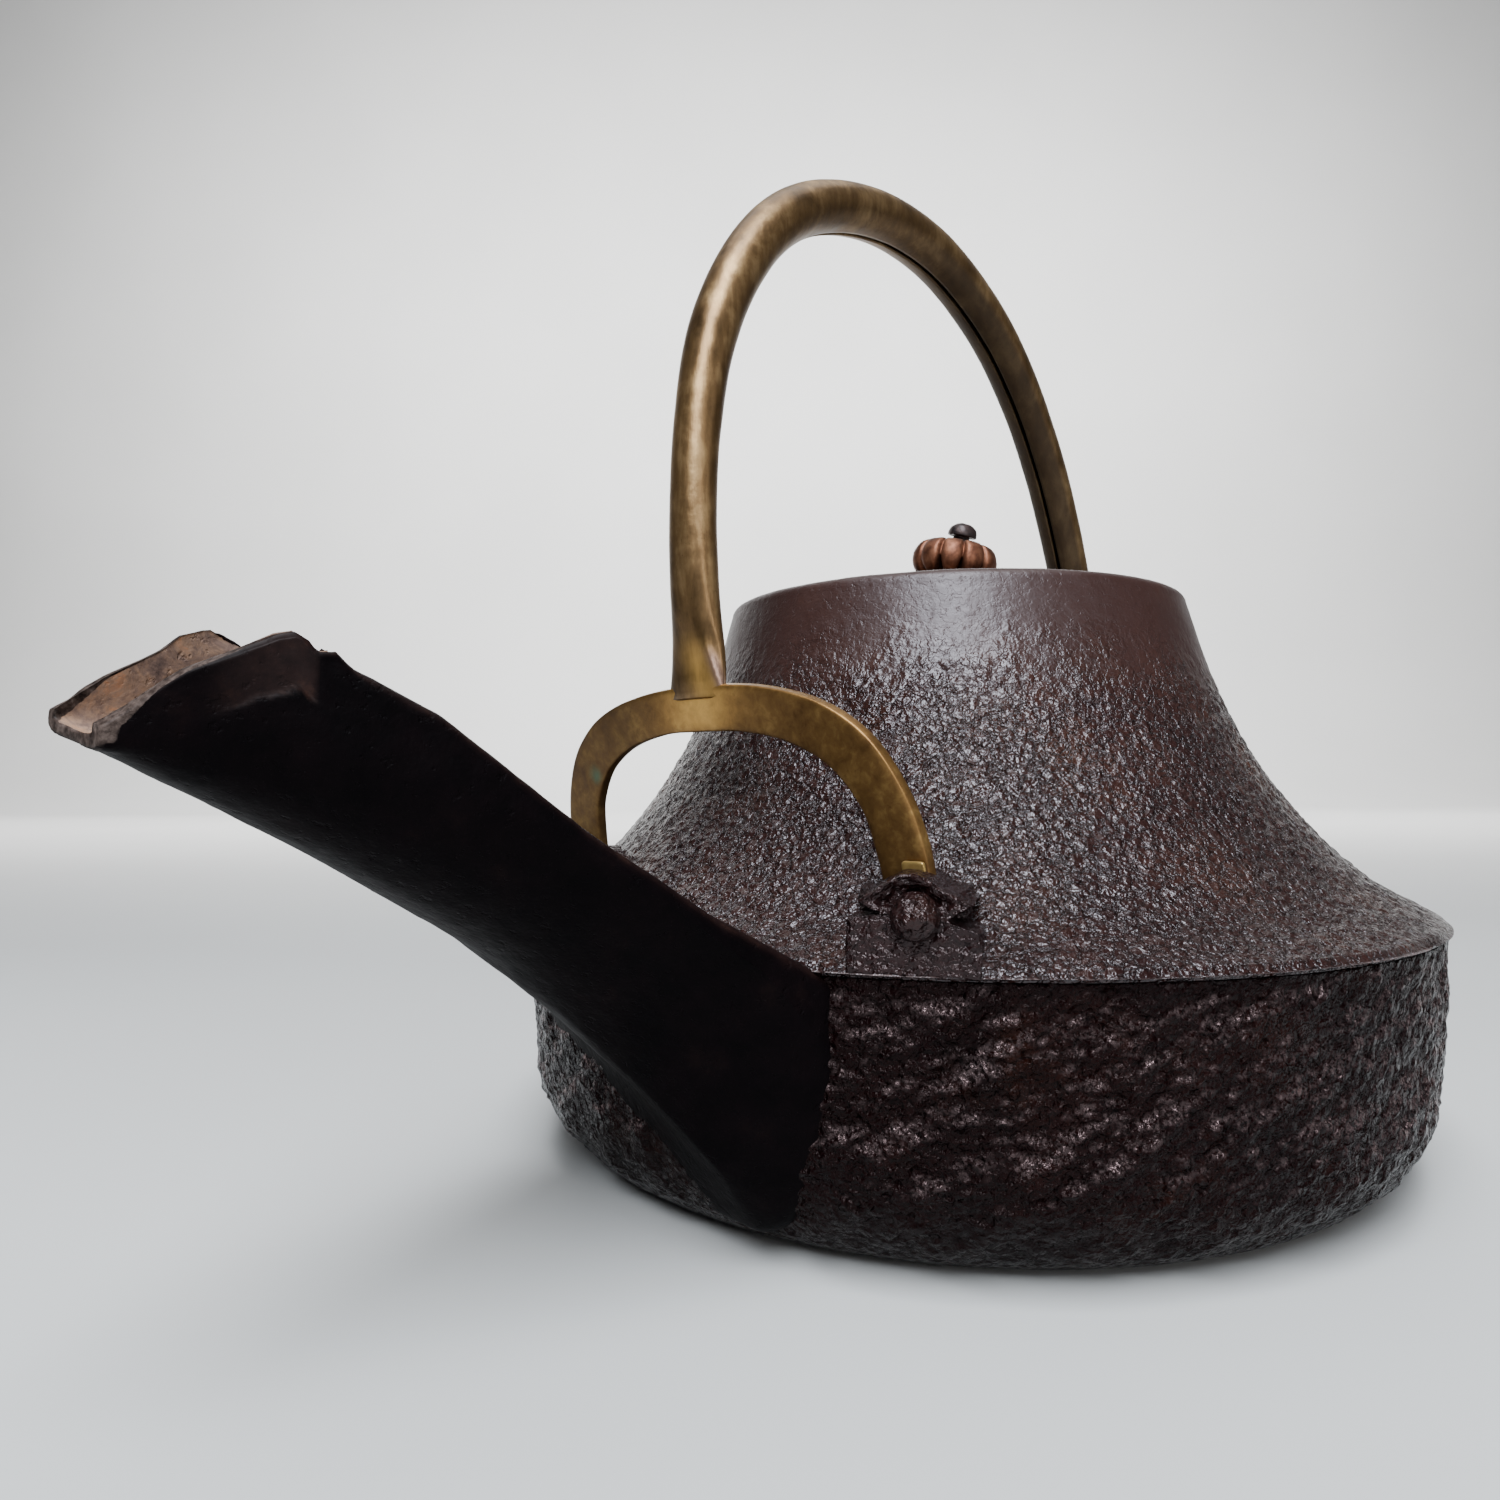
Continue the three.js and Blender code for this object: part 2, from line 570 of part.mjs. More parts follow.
// Knob: a ring of swollen petals with a groove between each two, bored for the nail
function knob() {
  const turns = KNOB_PETALS * 4;
  const ringSides = 12;
  const middle = (KNOB_TOP + KNOB_BOTTOM) / 2;
  const halfHeight = (KNOB_TOP - KNOB_BOTTOM) / 2;
  const reach = (KNOB_RADIUS - NAIL_HOLE_RADIUS) / 2;
  const profileRadius = NAIL_HOLE_RADIUS + reach;
  const positions = [];
  const triangles = [];
  for (let turn = 0; turn < turns; turn++) {
    const angle = (turn / turns) * 2 * Math.PI;
    const groove = 1 - KNOB_GROOVE * (1 - Math.abs(Math.sin((KNOB_PETALS * angle) / 2))) ** 1.5;
    for (let side = 0; side < ringSides; side++) {
      const around = (side / ringSides) * 2 * Math.PI;
      const outwards = Math.max(Math.cos(around), 0);
      const radius = (profileRadius + reach * Math.cos(around)) * (1 + (groove - 1) * outwards);
      const height = middle + halfHeight * Math.sin(around) * (1 + (groove - 1) * 0.5);
      positions.push(radius * Math.cos(angle), radius * Math.sin(angle), height);
      const next = ((turn + 1) % turns) * ringSides;
      const a = turn * ringSides + side;
      const b = turn * ringSides + ((side + 1) % ringSides);
      const c = next + ((side + 1) % ringSides);
      const d = next + side;
      triangles.push(a, c, b, a, d, c);
    }
  }
  const geometry = new THREE.BufferGeometry();
  geometry.setAttribute('position', new THREE.Float32BufferAttribute(positions, 3));
  geometry.setIndex(triangles);
  return geometry;
}

function knobNail() {
  const head = [];
  for (let step = 0; step <= 5; step++) {
    const angle = (step / 5) * Math.PI / 2;
    head.push([
      NAIL_HEAD.radius * Math.cos(angle),
      NAIL_HEAD.bottom + NAIL_EDGE + (NAIL_HEAD.top - NAIL_HEAD.bottom - NAIL_EDGE) * Math.sin(angle),
    ]);
  }
  return turned([
    [0, NAIL_CLENCH.bottom],
    [NAIL_CLENCH.radius, NAIL_CLENCH.bottom],
    [NAIL_CLENCH.radius, NAIL_CLENCH.top],
    [NAIL_SHANK_RADIUS, NAIL_CLENCH.top],
    [NAIL_SHANK_RADIUS, NAIL_HEAD.bottom],
    [NAIL_HEAD.radius - NAIL_EDGE, NAIL_HEAD.bottom],
    ...head.slice(0, -1),
    [0, NAIL_HEAD.top],
  ], SMALL_STEPS);
}

// Assembly. Left and right are as seen from behind, looking towards the spout
const leftAngle = LUG_ANGLE;
const rightAngle = -LUG_ANGLE;
const rearAngle = Math.PI;

addPiece('body_drum', bodyDrum(), IRON());
addPiece('body_shoulder', bodyShoulder(), IRON());
addPiece('spout', spout(), DARK_IRON());
addPiece('lug_front_left', lug(leftAngle, [forkPocket(), toSolid(wedgeBlock(-1, CLEARANCE))]), IRON());
addPiece('lug_front_right', lug(rightAngle, [forkPocket(), toSolid(wedgeBlock(1, CLEARANCE))]), IRON());
addPiece('lug_rear', lug(rearAngle, [rearPocket()]), IRON());
addPiece('lug_pin_front_left', lugPin(leftAngle), IRON());
addPiece('lug_pin_front_right', lugPin(rightAngle), IRON());
addPiece('lug_pin_rear', lugPin(rearAngle), IRON());
addPiece('fork_wedge_left', wedgeBlock(-1, 0), BRIGHT_BRASS());
addPiece('fork_wedge_right', wedgeBlock(1, 0), BRIGHT_BRASS());
addPiece(
  'handle_fork',
  cutFrom(
    forkBand(FORK_THICKNESS, 0, 0),
    [footNotch(), pinHole(leftAngle), pinHole(rightAngle), bodyEnvelope()],
  ),
  BRASS(),
);
addPiece('handle_tube', cutFrom(tubeBlank(), [pinHole(rearAngle)]), BRASS());
addPiece('lid_plate', lidPlate(), BRONZE());
addPiece('lid_ring', lidRing(), BRONZE());
addPiece('knob_washer', washer(KNOB_WASHER), COPPER());
addPiece('lid_knob', knob(), COPPER());
addPiece('knob_nail', knobNail(), DARK_IRON());
addPiece('clench_washer', washer(CLENCH_WASHER), COPPER());

export default kettle;
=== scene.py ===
from math import cos, pi, radians, sin, tau

import bmesh
import bpy
import numpy as np
from mathutils import Matrix, Vector


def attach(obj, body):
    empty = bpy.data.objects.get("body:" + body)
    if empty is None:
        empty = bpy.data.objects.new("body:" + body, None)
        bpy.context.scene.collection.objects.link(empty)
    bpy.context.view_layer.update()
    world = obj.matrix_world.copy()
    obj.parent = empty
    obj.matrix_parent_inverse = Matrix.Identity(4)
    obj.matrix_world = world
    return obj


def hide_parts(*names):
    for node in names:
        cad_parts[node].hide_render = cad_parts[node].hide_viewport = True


# A cast iron kettle with a long open-tipped spout and a brass handle, dressed over its solids.
# Scene units are metres. Sizes are written in millimetres and multiplied by MM. +Z is up, the
# spout points towards -X, and the side that the camera sees is -Y.

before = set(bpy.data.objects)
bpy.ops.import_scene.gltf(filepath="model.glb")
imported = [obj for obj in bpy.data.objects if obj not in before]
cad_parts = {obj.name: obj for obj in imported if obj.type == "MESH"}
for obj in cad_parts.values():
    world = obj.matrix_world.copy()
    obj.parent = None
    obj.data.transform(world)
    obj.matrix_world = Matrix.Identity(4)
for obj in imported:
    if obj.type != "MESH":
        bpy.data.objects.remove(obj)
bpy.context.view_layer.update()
MM = 0.001

# Body
BASE_RADIUS = 73
DRUM_RADIUS = 92.4
DRUM_TOP_RADIUS = 93.6
CORNER_HEIGHT = 19.2
PARTING_HEIGHT = 46.5
PARTING_GAP = 0.03
RIM_PROFILE = [[93.4, 46.55], [94.7, 46.75], [94.95, 47.1], [94.7, 47.45], [94.0, 47.95]]
SLOPE = [[93.9, 48.0], [81.9, 55.0], [70.5, 66.5], [61.0, 80.6], [54.2, 96.0], [49.6, 111.2]]
NECK_CREST_RADIUS = 46.6
NECK_TOP = 113.4
SEAT_RADIUS = 44.6
SEAT_HEIGHT = 111.2
MOUTH_RADIUS = 39.6
MOUTH_BOTTOM = 105.5
WALL = 3.4
DRUM_COLUMNS = 760
SLOPE_COLUMNS = 620
# Casting skin: the size of its pebbles, and the [start, full] spans over which it comes and goes
DRUM_PEBBLE = 2.9
DRUM_CLUMP = 4.2
DRUM_PIT = 3.1
DRUM_SLANT = radians(33)
SKIN_FROM_RADIUS = [78, 86]
SKIN_FROM_HEIGHT = [1.0, 7]
DRUM_RIM_FADE = [44.6, 46.3]
SLOPE_PEBBLE = 2.5
SLOPE_SKIN_START = [48.0, 50.5]
NECK_CALM = [84, 103]
FLASH_TOP = 48.2
FLASH_NICK = 5.5

# Spout
SPOUT_ROOT = 80.0
SPOUT_TIP = 174.4
SPOUT_TIP_HALF_WIDTH = 6.4
SPOUT_FLARE = 0.32
SPOUT_MOUTH_START = 150.6
SPOUT_TOP_NEAR = [
    [80, 43.7], [87, 47.2], [103.5, 56.5], [121.2, 69.0], [138.9, 83.8], [148.4, 89.2],
    [150.6, 91.2], [152.7, 91.0], [154.6, 93.4], [156.8, 92.9], [160.7, 90.9], [165.1, 88.8],
    [171.0, 84.7], [174.4, 82.4],
]
SPOUT_TOP_FAR = [
    [80, 43.7], [87, 47.2], [103.5, 56.5], [121.2, 69.0], [138.9, 83.6], [148.4, 89.2],
    [151.4, 91.6], [156.3, 93.3], [159.9, 92.0], [162.4, 89.8], [168.8, 86.2], [171.9, 84.0],
    [174.4, 82.2],
]
SPOUT_KEEL = [
    [80, 5.2], [86, 5.5], [90, 10.3], [94, 16.3], [99, 24.6], [105, 33.4],
    [112, 41.3], [121, 49.6], [132.5, 57.0], [150.5, 67.6], [168, 76.8], [174.4, 79.5],
]
SPOUT_KEEL_SHARE = [[86, 0.72], [97, 0.85], [118, 0.85], [150, 0.62], [168, 0.62], [174.4, 0.74]]
SPOUT_KEEL_POINT = [[86, 1.4], [97, 2.6], [118, 1.5], [150, 0.9], [167, 0.8], [174.4, 0.42]]
SPOUT_SIDE_POWER = [[86, 0.96], [97, 1.45], [118, 1.0], [150, 0.9], [167, 0.8], [174.4, 0.42]]
SPOUT_SKEW = [[86, 19.0], [94, 20.0], [105, 6.9], [118, 0.0]]
SPOUT_WALL = [[80, 3.0], [174.4, 1.5]]
SPOUT_EDGE = [[80, 3.2], [110, 2.4], [146, 2.0], [152, 0.9], [174.4, 0.5]]
SPOUT_ROOF_CROWN = 0.11
SPOUT_ROLL_START = 122
SPOUT_ROLL_TIP = radians(12)
SPOUT_TIP_SLANT = 1.7
SPOUT_SLANT_START = 165
# Wear on the spout: [start, full] spans along it, and depths below the walls' top edges
RAGGED_RISE = [144, 150]
RAGGED_FALL = [153, 157]
RAGGED_DEPTH = [1.0, 3.0]
WORN_TIP = [168, 174]
FLAKED_RISE = [152.4, 153.1]
FLAKED_FALL = [157, 165]
FLAKED_DEPTH = 6.2
FLAKED_EDGE = 0.35
HOLLOW_START = [138, 149]
HOLLOW_FLOOR = 2.4
LIP_START = [152, 156]
LIP_WIDENS = [168, 173]
TIP_START = [171.5, 173.4]

# Lugs, pins and wedges
LUG_FACE_RADIUS = 94.2
LUG_ANGLE = radians(29)
LUG_DEPTH = 18.0
# Each lug's place, its turn about the axis and the seed of its skin
LUGS = [["front_left", LUG_ANGLE, 107], ["front_right", -LUG_ANGLE, 127], ["rear", pi, 137]]
LUG_COLUMNS = 240
LUG_CORNER = 0.35
LUG_NOTCH_REACH = 9.6
LUG_FILLED_REACH = 8.2
LUG_FILLED_FROM = [5.0, 8.0]
LUG_ROOT = 1.2
BALL_HEIGHT = 56.2
BALL_RADIUS = 3.65
BALL_SET_OUT = 0.1
BALL_DROP = 0.7
BALL_ASIDE = 0.95
# Front outline of a lug, in millimetres from the middle of its ball: across to the right, and up
LUG_OUTLINE = [
    [10.05, -2.9], [8.8, -2.45], [6.0, -1.55], [5.7, -1.1], [6.8, -0.25], [9.0, 1.0],
    [7.4, 1.75], [4.9, 2.9], [3.35, 4.1], [1.2, 5.2], [-1.2, 5.2], [-3.9, 3.8], [-5.6, 2.7],
    [-7.3, 1.35], [-5.2, 0.15], [-4.1, -0.05], [-4.3, -0.55], [-8.4, -1.05], [-8.9, -1.5],
    [-9.1, -9.4], [9.9, -9.4],
]

# Handle
FORK_THICKNESS = 2.6
FORK_SQUARE = 0.32
FORK_SIDES = 36
FORK_LEAN = radians(13.1)
FORK_DATUM_X = -82.7
FORK_DATUM_Z = 105.0
FORK_OUTER = [
    [0, -13.8], [14.5, -15.0], [26.4, -18.1], [35.1, -23.8], [40.4, -32], [42.9, -41],
    [43.3, -49.6],
]
FORK_INNER = [
    [0, -22.3], [9.5, -22.6], [19.5, -24.7], [27.2, -28.9], [31.9, -35], [33.5, -41], [34.6, -49.6],
]
GREEN_SPECK = [-77.3, 31.3, 75.9]
SHIM_ACROSS = [39.0, 43.3]
SHIM_UP = [-46.4, -43.1]
SHIM_THICKNESS = 0.8
SHIM_STANDS_OFF = 0.1
TUBE_PATH = [
    [-79.6, 88.6], [-79.3, 97], [-80.1, 110], [-80.2, 122], [-79.2, 135.8], [-76.3, 150.7],
    [-70.6, 164], [-61.8, 176.2], [-51, 185], [-37, 190.8], [-22, 193.4], [-6, 192.4],
    [9.5, 187.2], [22.9, 179.2], [35, 167.6], [44.8, 154.2], [52.3, 140], [58.6, 125],
    [66, 106], [73.4, 88], [80.6, 70], [82.2, 64], [82.4, 56.4],
]
TUBE_HALF_WIDTH = [
    [0, 7.0], [0.02, 6.5], [0.06, 4.9], [0.14, 4.5], [0.22, 4.9], [0.32, 5.4],
    [0.45, 5.6], [0.7, 5.4], [0.88, 5.2], [0.94, 5.0], [1, 4.8],
]
TUBE_HALF_DEPTH = [
    [0, 1.6], [0.02, 2.4], [0.06, 4.0], [0.14, 4.4], [0.22, 4.9], [0.32, 5.4],
    [0.45, 5.6], [0.7, 5.4], [0.88, 5.2], [0.94, 3.2], [0.965, 2.0], [1, 1.8],
]
TUBE_WALL = 1.0
TUBE_SEAM = radians(5)
TUBE_UNDERSIDE = 0.86
FOLD_TOP = 99.0
FOLD_START = 1.2
FOLD_SLOPE = 0.35
FOOT_FLAT_TOP = 91.0
BEND_MIDDLE = 110

# Lid and knob
LID_RADIUS = 44.0
LID_UNDERSIDE = 111.5
LID_EDGE_TOP = 113.5
LID_CENTRE_TOP = 118.4
LID_THICKNESS = 2.1
LID_SUNK = 0.3
# Beads on the lid: the radius of each, its width and its height
LID_BEADS = [[36.5, 0.7, 0.45], [9.5, 0.6, 0.4]]
# Closed outlines of the turned pieces: radius and height
LID_SKIRT = [
    [37.5, 104.4], [37.9, 104.0], [38.5, 104.0], [38.9, 104.5], [38.9, 111.2], [37.5, 111.2],
]
KNOB_SEAT = [[1.7, 118.7], [5.0, 118.7], [5.2, 118.9], [5.2, 119.3], [4.9, 119.5], [1.7, 119.5]]
CLENCH_PLATE = [[1.7, 115.2], [4.0, 115.2], [4.2, 115.4], [4.2, 115.8], [4.0, 116.0], [1.7, 116.0]]
NAIL_HOLE = 1.7
KNOB_RADIUS = 9.7
KNOB_BOTTOM = 119.8
KNOB_TOP = 128.0
KNOB_HOLE = 2.3
KNOB_PETALS = 10
KNOB_TURN = radians(10)
KNOB_LEAN = radians(10.5)
KNOB_SHIFT = 0.3
KNOB_LIFT = 3.4
NAIL_SHANK = [
    [0, 114.1], [2.3, 114.1], [2.3, 114.9], [1.3, 115.0], [1.3, 124.0], [1.9, 126.0],
    [2.0, 128.4], [1.8, 130.1], [2.5, 130.1], [3.25, 130.0],
]
NAIL_HEAD_RADIUS = 3.3
NAIL_HEAD_BOTTOM = 130.2
NAIL_HEAD_HEIGHT = 2.9
NAIL_NECK = 127
NAIL_LEAN = radians(12.7)
NAIL_PIVOT = 118.0
NAIL_NOD = radians(9)

# Camera: where it stood, which way it looked, and its lens on a 36 mm wide square frame
CAMERA_PLACE = Vector((-206.8, -133.3, 75.15)) * MM
CAMERA_LOOKS = Vector((0.7248, 0.6885, 0.0262))
CAMERA_ROLL = radians(-0.313)
CAMERA_LENS = 25.6

# Floor and lights, in metres and watts. Each light: place, target, width, height, power, colour
FLOOR_REACH = 9.0
FLOOR_DROP = 0.0002
SWEEP_START = 2.2
SWEEP_RADIUS = 0.8
SWEEP_TOP = 4.0
SKY_STRENGTH = 0.09
COOL_WHITE = (0.88, 0.94, 1.0)
WHITE = (1.0, 1.0, 1.0)
LIGHTS = {
    "window_front": ((-0.50, -0.33, 0.86), (0, 0, 0.08), 0.42, 0.95, 31, COOL_WHITE),
    "ceiling": ((0.05, 0.05, 1.15), (0, 0, 0.05), 0.9, 0.9, 5, WHITE),
    "window_left": ((-0.42, -0.92, 0.34), (-0.05, -0.05, 0.03), 0.14, 0.24, 2.0, WHITE),
    "window_right": ((0.16, -0.98, 0.42), (0.0, -0.05, 0.04), 0.14, 0.24, 0.6, WHITE),
    "wall_wash_left": ((0.2, 1.4, 1.6), (2.0, 2.4, 0.7), 1.6, 1.0, 126, WHITE),
    "wall_wash_right": ((1.4, 0.2, 1.6), (2.6, 1.8, 0.7), 1.6, 1.0, 126, WHITE),
}


# Numbers over whole arrays
def curve_through(points, count):
    """Catmull-Rom curve: a cubic between each two knots, with slopes from their neighbours."""
    knots = np.asarray(points, float)
    padded = np.vstack([2 * knots[0] - knots[1], knots, 2 * knots[-1] - knots[-2]])
    at = np.linspace(0, len(knots) - 1, count)
    span = np.minimum(at.astype(int), len(knots) - 2)
    t = (at - span)[:, None]
    a, b, c, d = (padded[span + k] for k in range(4))
    square, cube = 2 * a - 5 * b + 4 * c - d, 3 * b - a - 3 * c + d
    return 0.5 * (2 * b + (c - a) * t + square * t**2 + cube * t**3)


def even_steps(points, count):
    """A line cut into even lengths: its points read off at equal shares of its running length."""
    points = np.asarray(points, float)
    run = np.r_[0, np.cumsum(np.linalg.norm(np.diff(points, axis=0), axis=1))]
    at = np.linspace(0, run[-1], count)
    return np.stack([np.interp(at, run, points[:, k]) for k in range(points.shape[1])], axis=1)


def read_off(table, at):
    """Straight-line reading of a table of [at, value] pairs."""
    table = np.asarray(table, float)
    return np.interp(at, table[:, 0], table[:, 1])


def smooth_off(table, at):
    """Reading of a table of [at, value] pairs along the smooth curve through them."""
    return read_off(curve_through(table, 40 * len(table)), at)


def ramp(value, low, high):
    """0 below low, 1 above high, and the smooth step 3t^2 - 2t^3 between them."""
    t = np.clip((value - low) / (high - low), 0, 1)
    return t * t * (3 - 2 * t)


def plateau(value, rise, fall):
    """1 between the smooth steps rise and fall, and 0 before and after them."""
    return ramp(value, *rise) * (1 - ramp(value, *fall))


def hump(value, middle, width):
    """A bell: 1 at its middle, falling off as exp(-t^2), t being the distance in widths."""
    return np.exp(-((value - middle) / width) ** 2)


def signed_power(value, power):
    """A sine or cosine raised to a power with its sign kept, which squares off an oval."""
    return np.sign(value) * np.abs(value) ** power


def from_axis(points):
    """Each point's distance from the Z axis."""
    return np.hypot(points[..., 0], points[..., 1])


def cell_number(cells, seed):
    """A repeatable number from 0 to 1 for each cell: its whole indices, mixed bit by bit."""
    x, y, z = (cells[..., k].astype(np.int64).astype(np.uint64) for k in range(3))
    low = np.uint64(0xFFFFFFFF)
    mixed = (x * np.uint64(73856093)) ^ (y * np.uint64(19349663)) ^ (z * np.uint64(83492791))
    mixed = (mixed ^ np.uint64(seed * 2654435761 % 4294967296)) & low
    mixed = ((mixed ^ (mixed >> np.uint64(15))) * np.uint64(2246822519)) & low
    mixed = ((mixed ^ (mixed >> np.uint64(13))) * np.uint64(3266489917)) & low
    return (mixed ^ (mixed >> np.uint64(16))).astype(float) / 4294967295.0


def soft_noise(points, size, seed):
    """Value noise from -1 to 1: numbers at the corners of cubes, blended by a smooth step."""
    place = points / size
    low = np.floor(place)
    share = place - low
    share = share * share * (3 - 2 * share)
    total = np.zeros(points.shape[:-1])
    for corner in np.ndindex(2, 2, 2):
        weight = np.prod(np.where(corner, share, 1 - share), axis=-1)
        total += weight * cell_number(low + np.array(corner), seed)
    return 2 * total - 1


def layered_noise(points, size, seed, layers=3):
    """Sum of value noises, each of half the size and half the height of the last."""
    total = sum(soft_noise(points, size / 2**k, seed + 7 * k) / 2**k for k in range(layers))
    return total / (2 - 2 / 2**layers)


def scattered(points, size, seed):
    """Distances, in cells, to the nearest and next nearest of one scattered centre in each cube."""
    place = points / size
    home = np.floor(place)
    nearest = np.full(points.shape[:-1], 9.0)
    second = nearest.copy()
    for step in np.ndindex(3, 3, 3):
        cell = home + np.array(step) - 1
        centre = cell + np.stack([cell_number(cell, seed + k) for k in range(3)], axis=-1)
        gap = np.linalg.norm(place - centre, axis=-1)
        second = np.minimum(second, np.maximum(nearest, gap))
        nearest = np.minimum(nearest, gap)
    return nearest, second


# Meshes out of grids of points
def grid_faces(rows, columns, loop_rows=False, loop_columns=False):
    """Quads of a grid: each joins a point to the next in its row and the two under them."""
    row = np.arange(rows if loop_rows else rows - 1)
    column = np.arange(columns if loop_columns else columns - 1)
    row, column = (part.ravel() for part in np.meshgrid(row, column, indexing="ij"))
    below = (row + 1) % rows
    beside = (column + 1) % columns
    corners = [(row, column), (row, beside), (below, beside), (below, column)]
    return np.stack([at * columns + along for at, along in corners], axis=1)


def add_object(name, data):
    """A new object of the scene, at the origin, unturned and unscaled."""
    thing = bpy.data.objects.new(name, data)
    bpy.context.scene.collection.objects.link(thing)
    return thing


def make_piece(name, grids, material, body, node, merge=1e-6, flat_edges=None):
    """One closed mesh from grids of points in millimetres, in place of a node of the CAD model.

    Each grid is (points, loop_rows, loop_columns). Points that fall together are merged, which
    closes seams and poles, and the faces are turned outwards.
    """
    places, faces, start = [], [], 0
    for points, loop_rows, loop_columns in grids:
        rows, columns = points.shape[:2]
        places.append(points.reshape(-1, 3) * MM)
        faces.append(grid_faces(rows, columns, loop_rows, loop_columns) + start)
        start += rows * columns
    mesh = bpy.data.meshes.new(name)
    mesh.from_pydata(np.vstack(places), [], np.vstack(faces).tolist())
    work = bmesh.new()
    work.from_mesh(mesh)
    bmesh.ops.remove_doubles(work, verts=work.verts, dist=merge)
    bmesh.ops.dissolve_degenerate(work, edges=work.edges, dist=1e-9)
    bmesh.ops.recalc_face_normals(work, faces=work.faces)
    work.to_mesh(mesh)
    work.free()
    mesh.polygons.foreach_set("use_smooth", np.ones(len(mesh.polygons), bool))
    if flat_edges is not None:
        mesh.set_sharp_from_angle(angle=flat_edges)
    piece = add_object(name, mesh)
    mesh.materials.append(material)
    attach(piece, body)
    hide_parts(node)
    return piece


def roughen(piece, relief):
    """Moves each point along its own normal by relief(points, normals), in millimetres."""
    place, normal = points_of(piece)
    place += normal * relief(place, normal)[:, None]
    piece.data.vertices.foreach_set("co", (place * MM).ravel())
    piece.data.update()


def points_of(piece):
    """A piece's points, in millimetres, and their normals."""
    mesh = piece.data
    count = len(mesh.vertices)
    place = np.empty(3 * count)
    normal = np.empty(3 * count)
    mesh.vertices.foreach_get("co", place)
    mesh.vertex_normals.foreach_get("vector", normal)
    return place.reshape(-1, 3) / MM, normal.reshape(-1, 3)


def paint_mask(piece, name, mask):
    """Stores a number from 0 to 1 on each point, for the finish to read."""
    layer = piece.data.attributes.new(name, "FLOAT", "POINT")
    layer.data.foreach_set("value", np.clip(mask, 0, 1))


def turned(profile, columns):
    """A profile of [radius, height] turned about the Z axis: x = r cos a, y = r sin a."""
    angle = np.arange(columns) * tau / columns
    radius, height = np.asarray(profile, float).T
    return np.stack([
        radius[:, None] * np.cos(angle),
        radius[:, None] * np.sin(angle),
        np.repeat(height[:, None], columns, axis=1),
    ], axis=-1)


def turned_about_axis(points, angle):
    """The same points turned about the Z axis."""
    c, s = cos(angle), sin(angle)
    x, y, z = points[..., 0], points[..., 1], points[..., 2]
    return np.stack([c * x - s * y, s * x + c * y, z], axis=-1)


# Shader maths
class Socket:
    """An output of a node tree. Arithmetic on it adds Math nodes to the tree."""

    def __init__(self, finish, socket):
        self.finish = finish
        self.socket = socket

    def _math(self, operation, first, second):
        return self.finish.node("ShaderNodeMath", {"operation": operation}, {0: first, 1: second})

    def __add__(self, other):
        return self._math("ADD", self, other)

    __radd__ = __add__

    def __sub__(self, other):
        return self._math("SUBTRACT", self, other)

    def __rsub__(self, other):
        return self._math("SUBTRACT", other, self)

    def __mul__(self, other):
        return self._math("MULTIPLY", self, other)

    __rmul__ = __mul__

    def most(self, other):
        """The larger of the two."""
        return self._math("MAXIMUM", self, other)


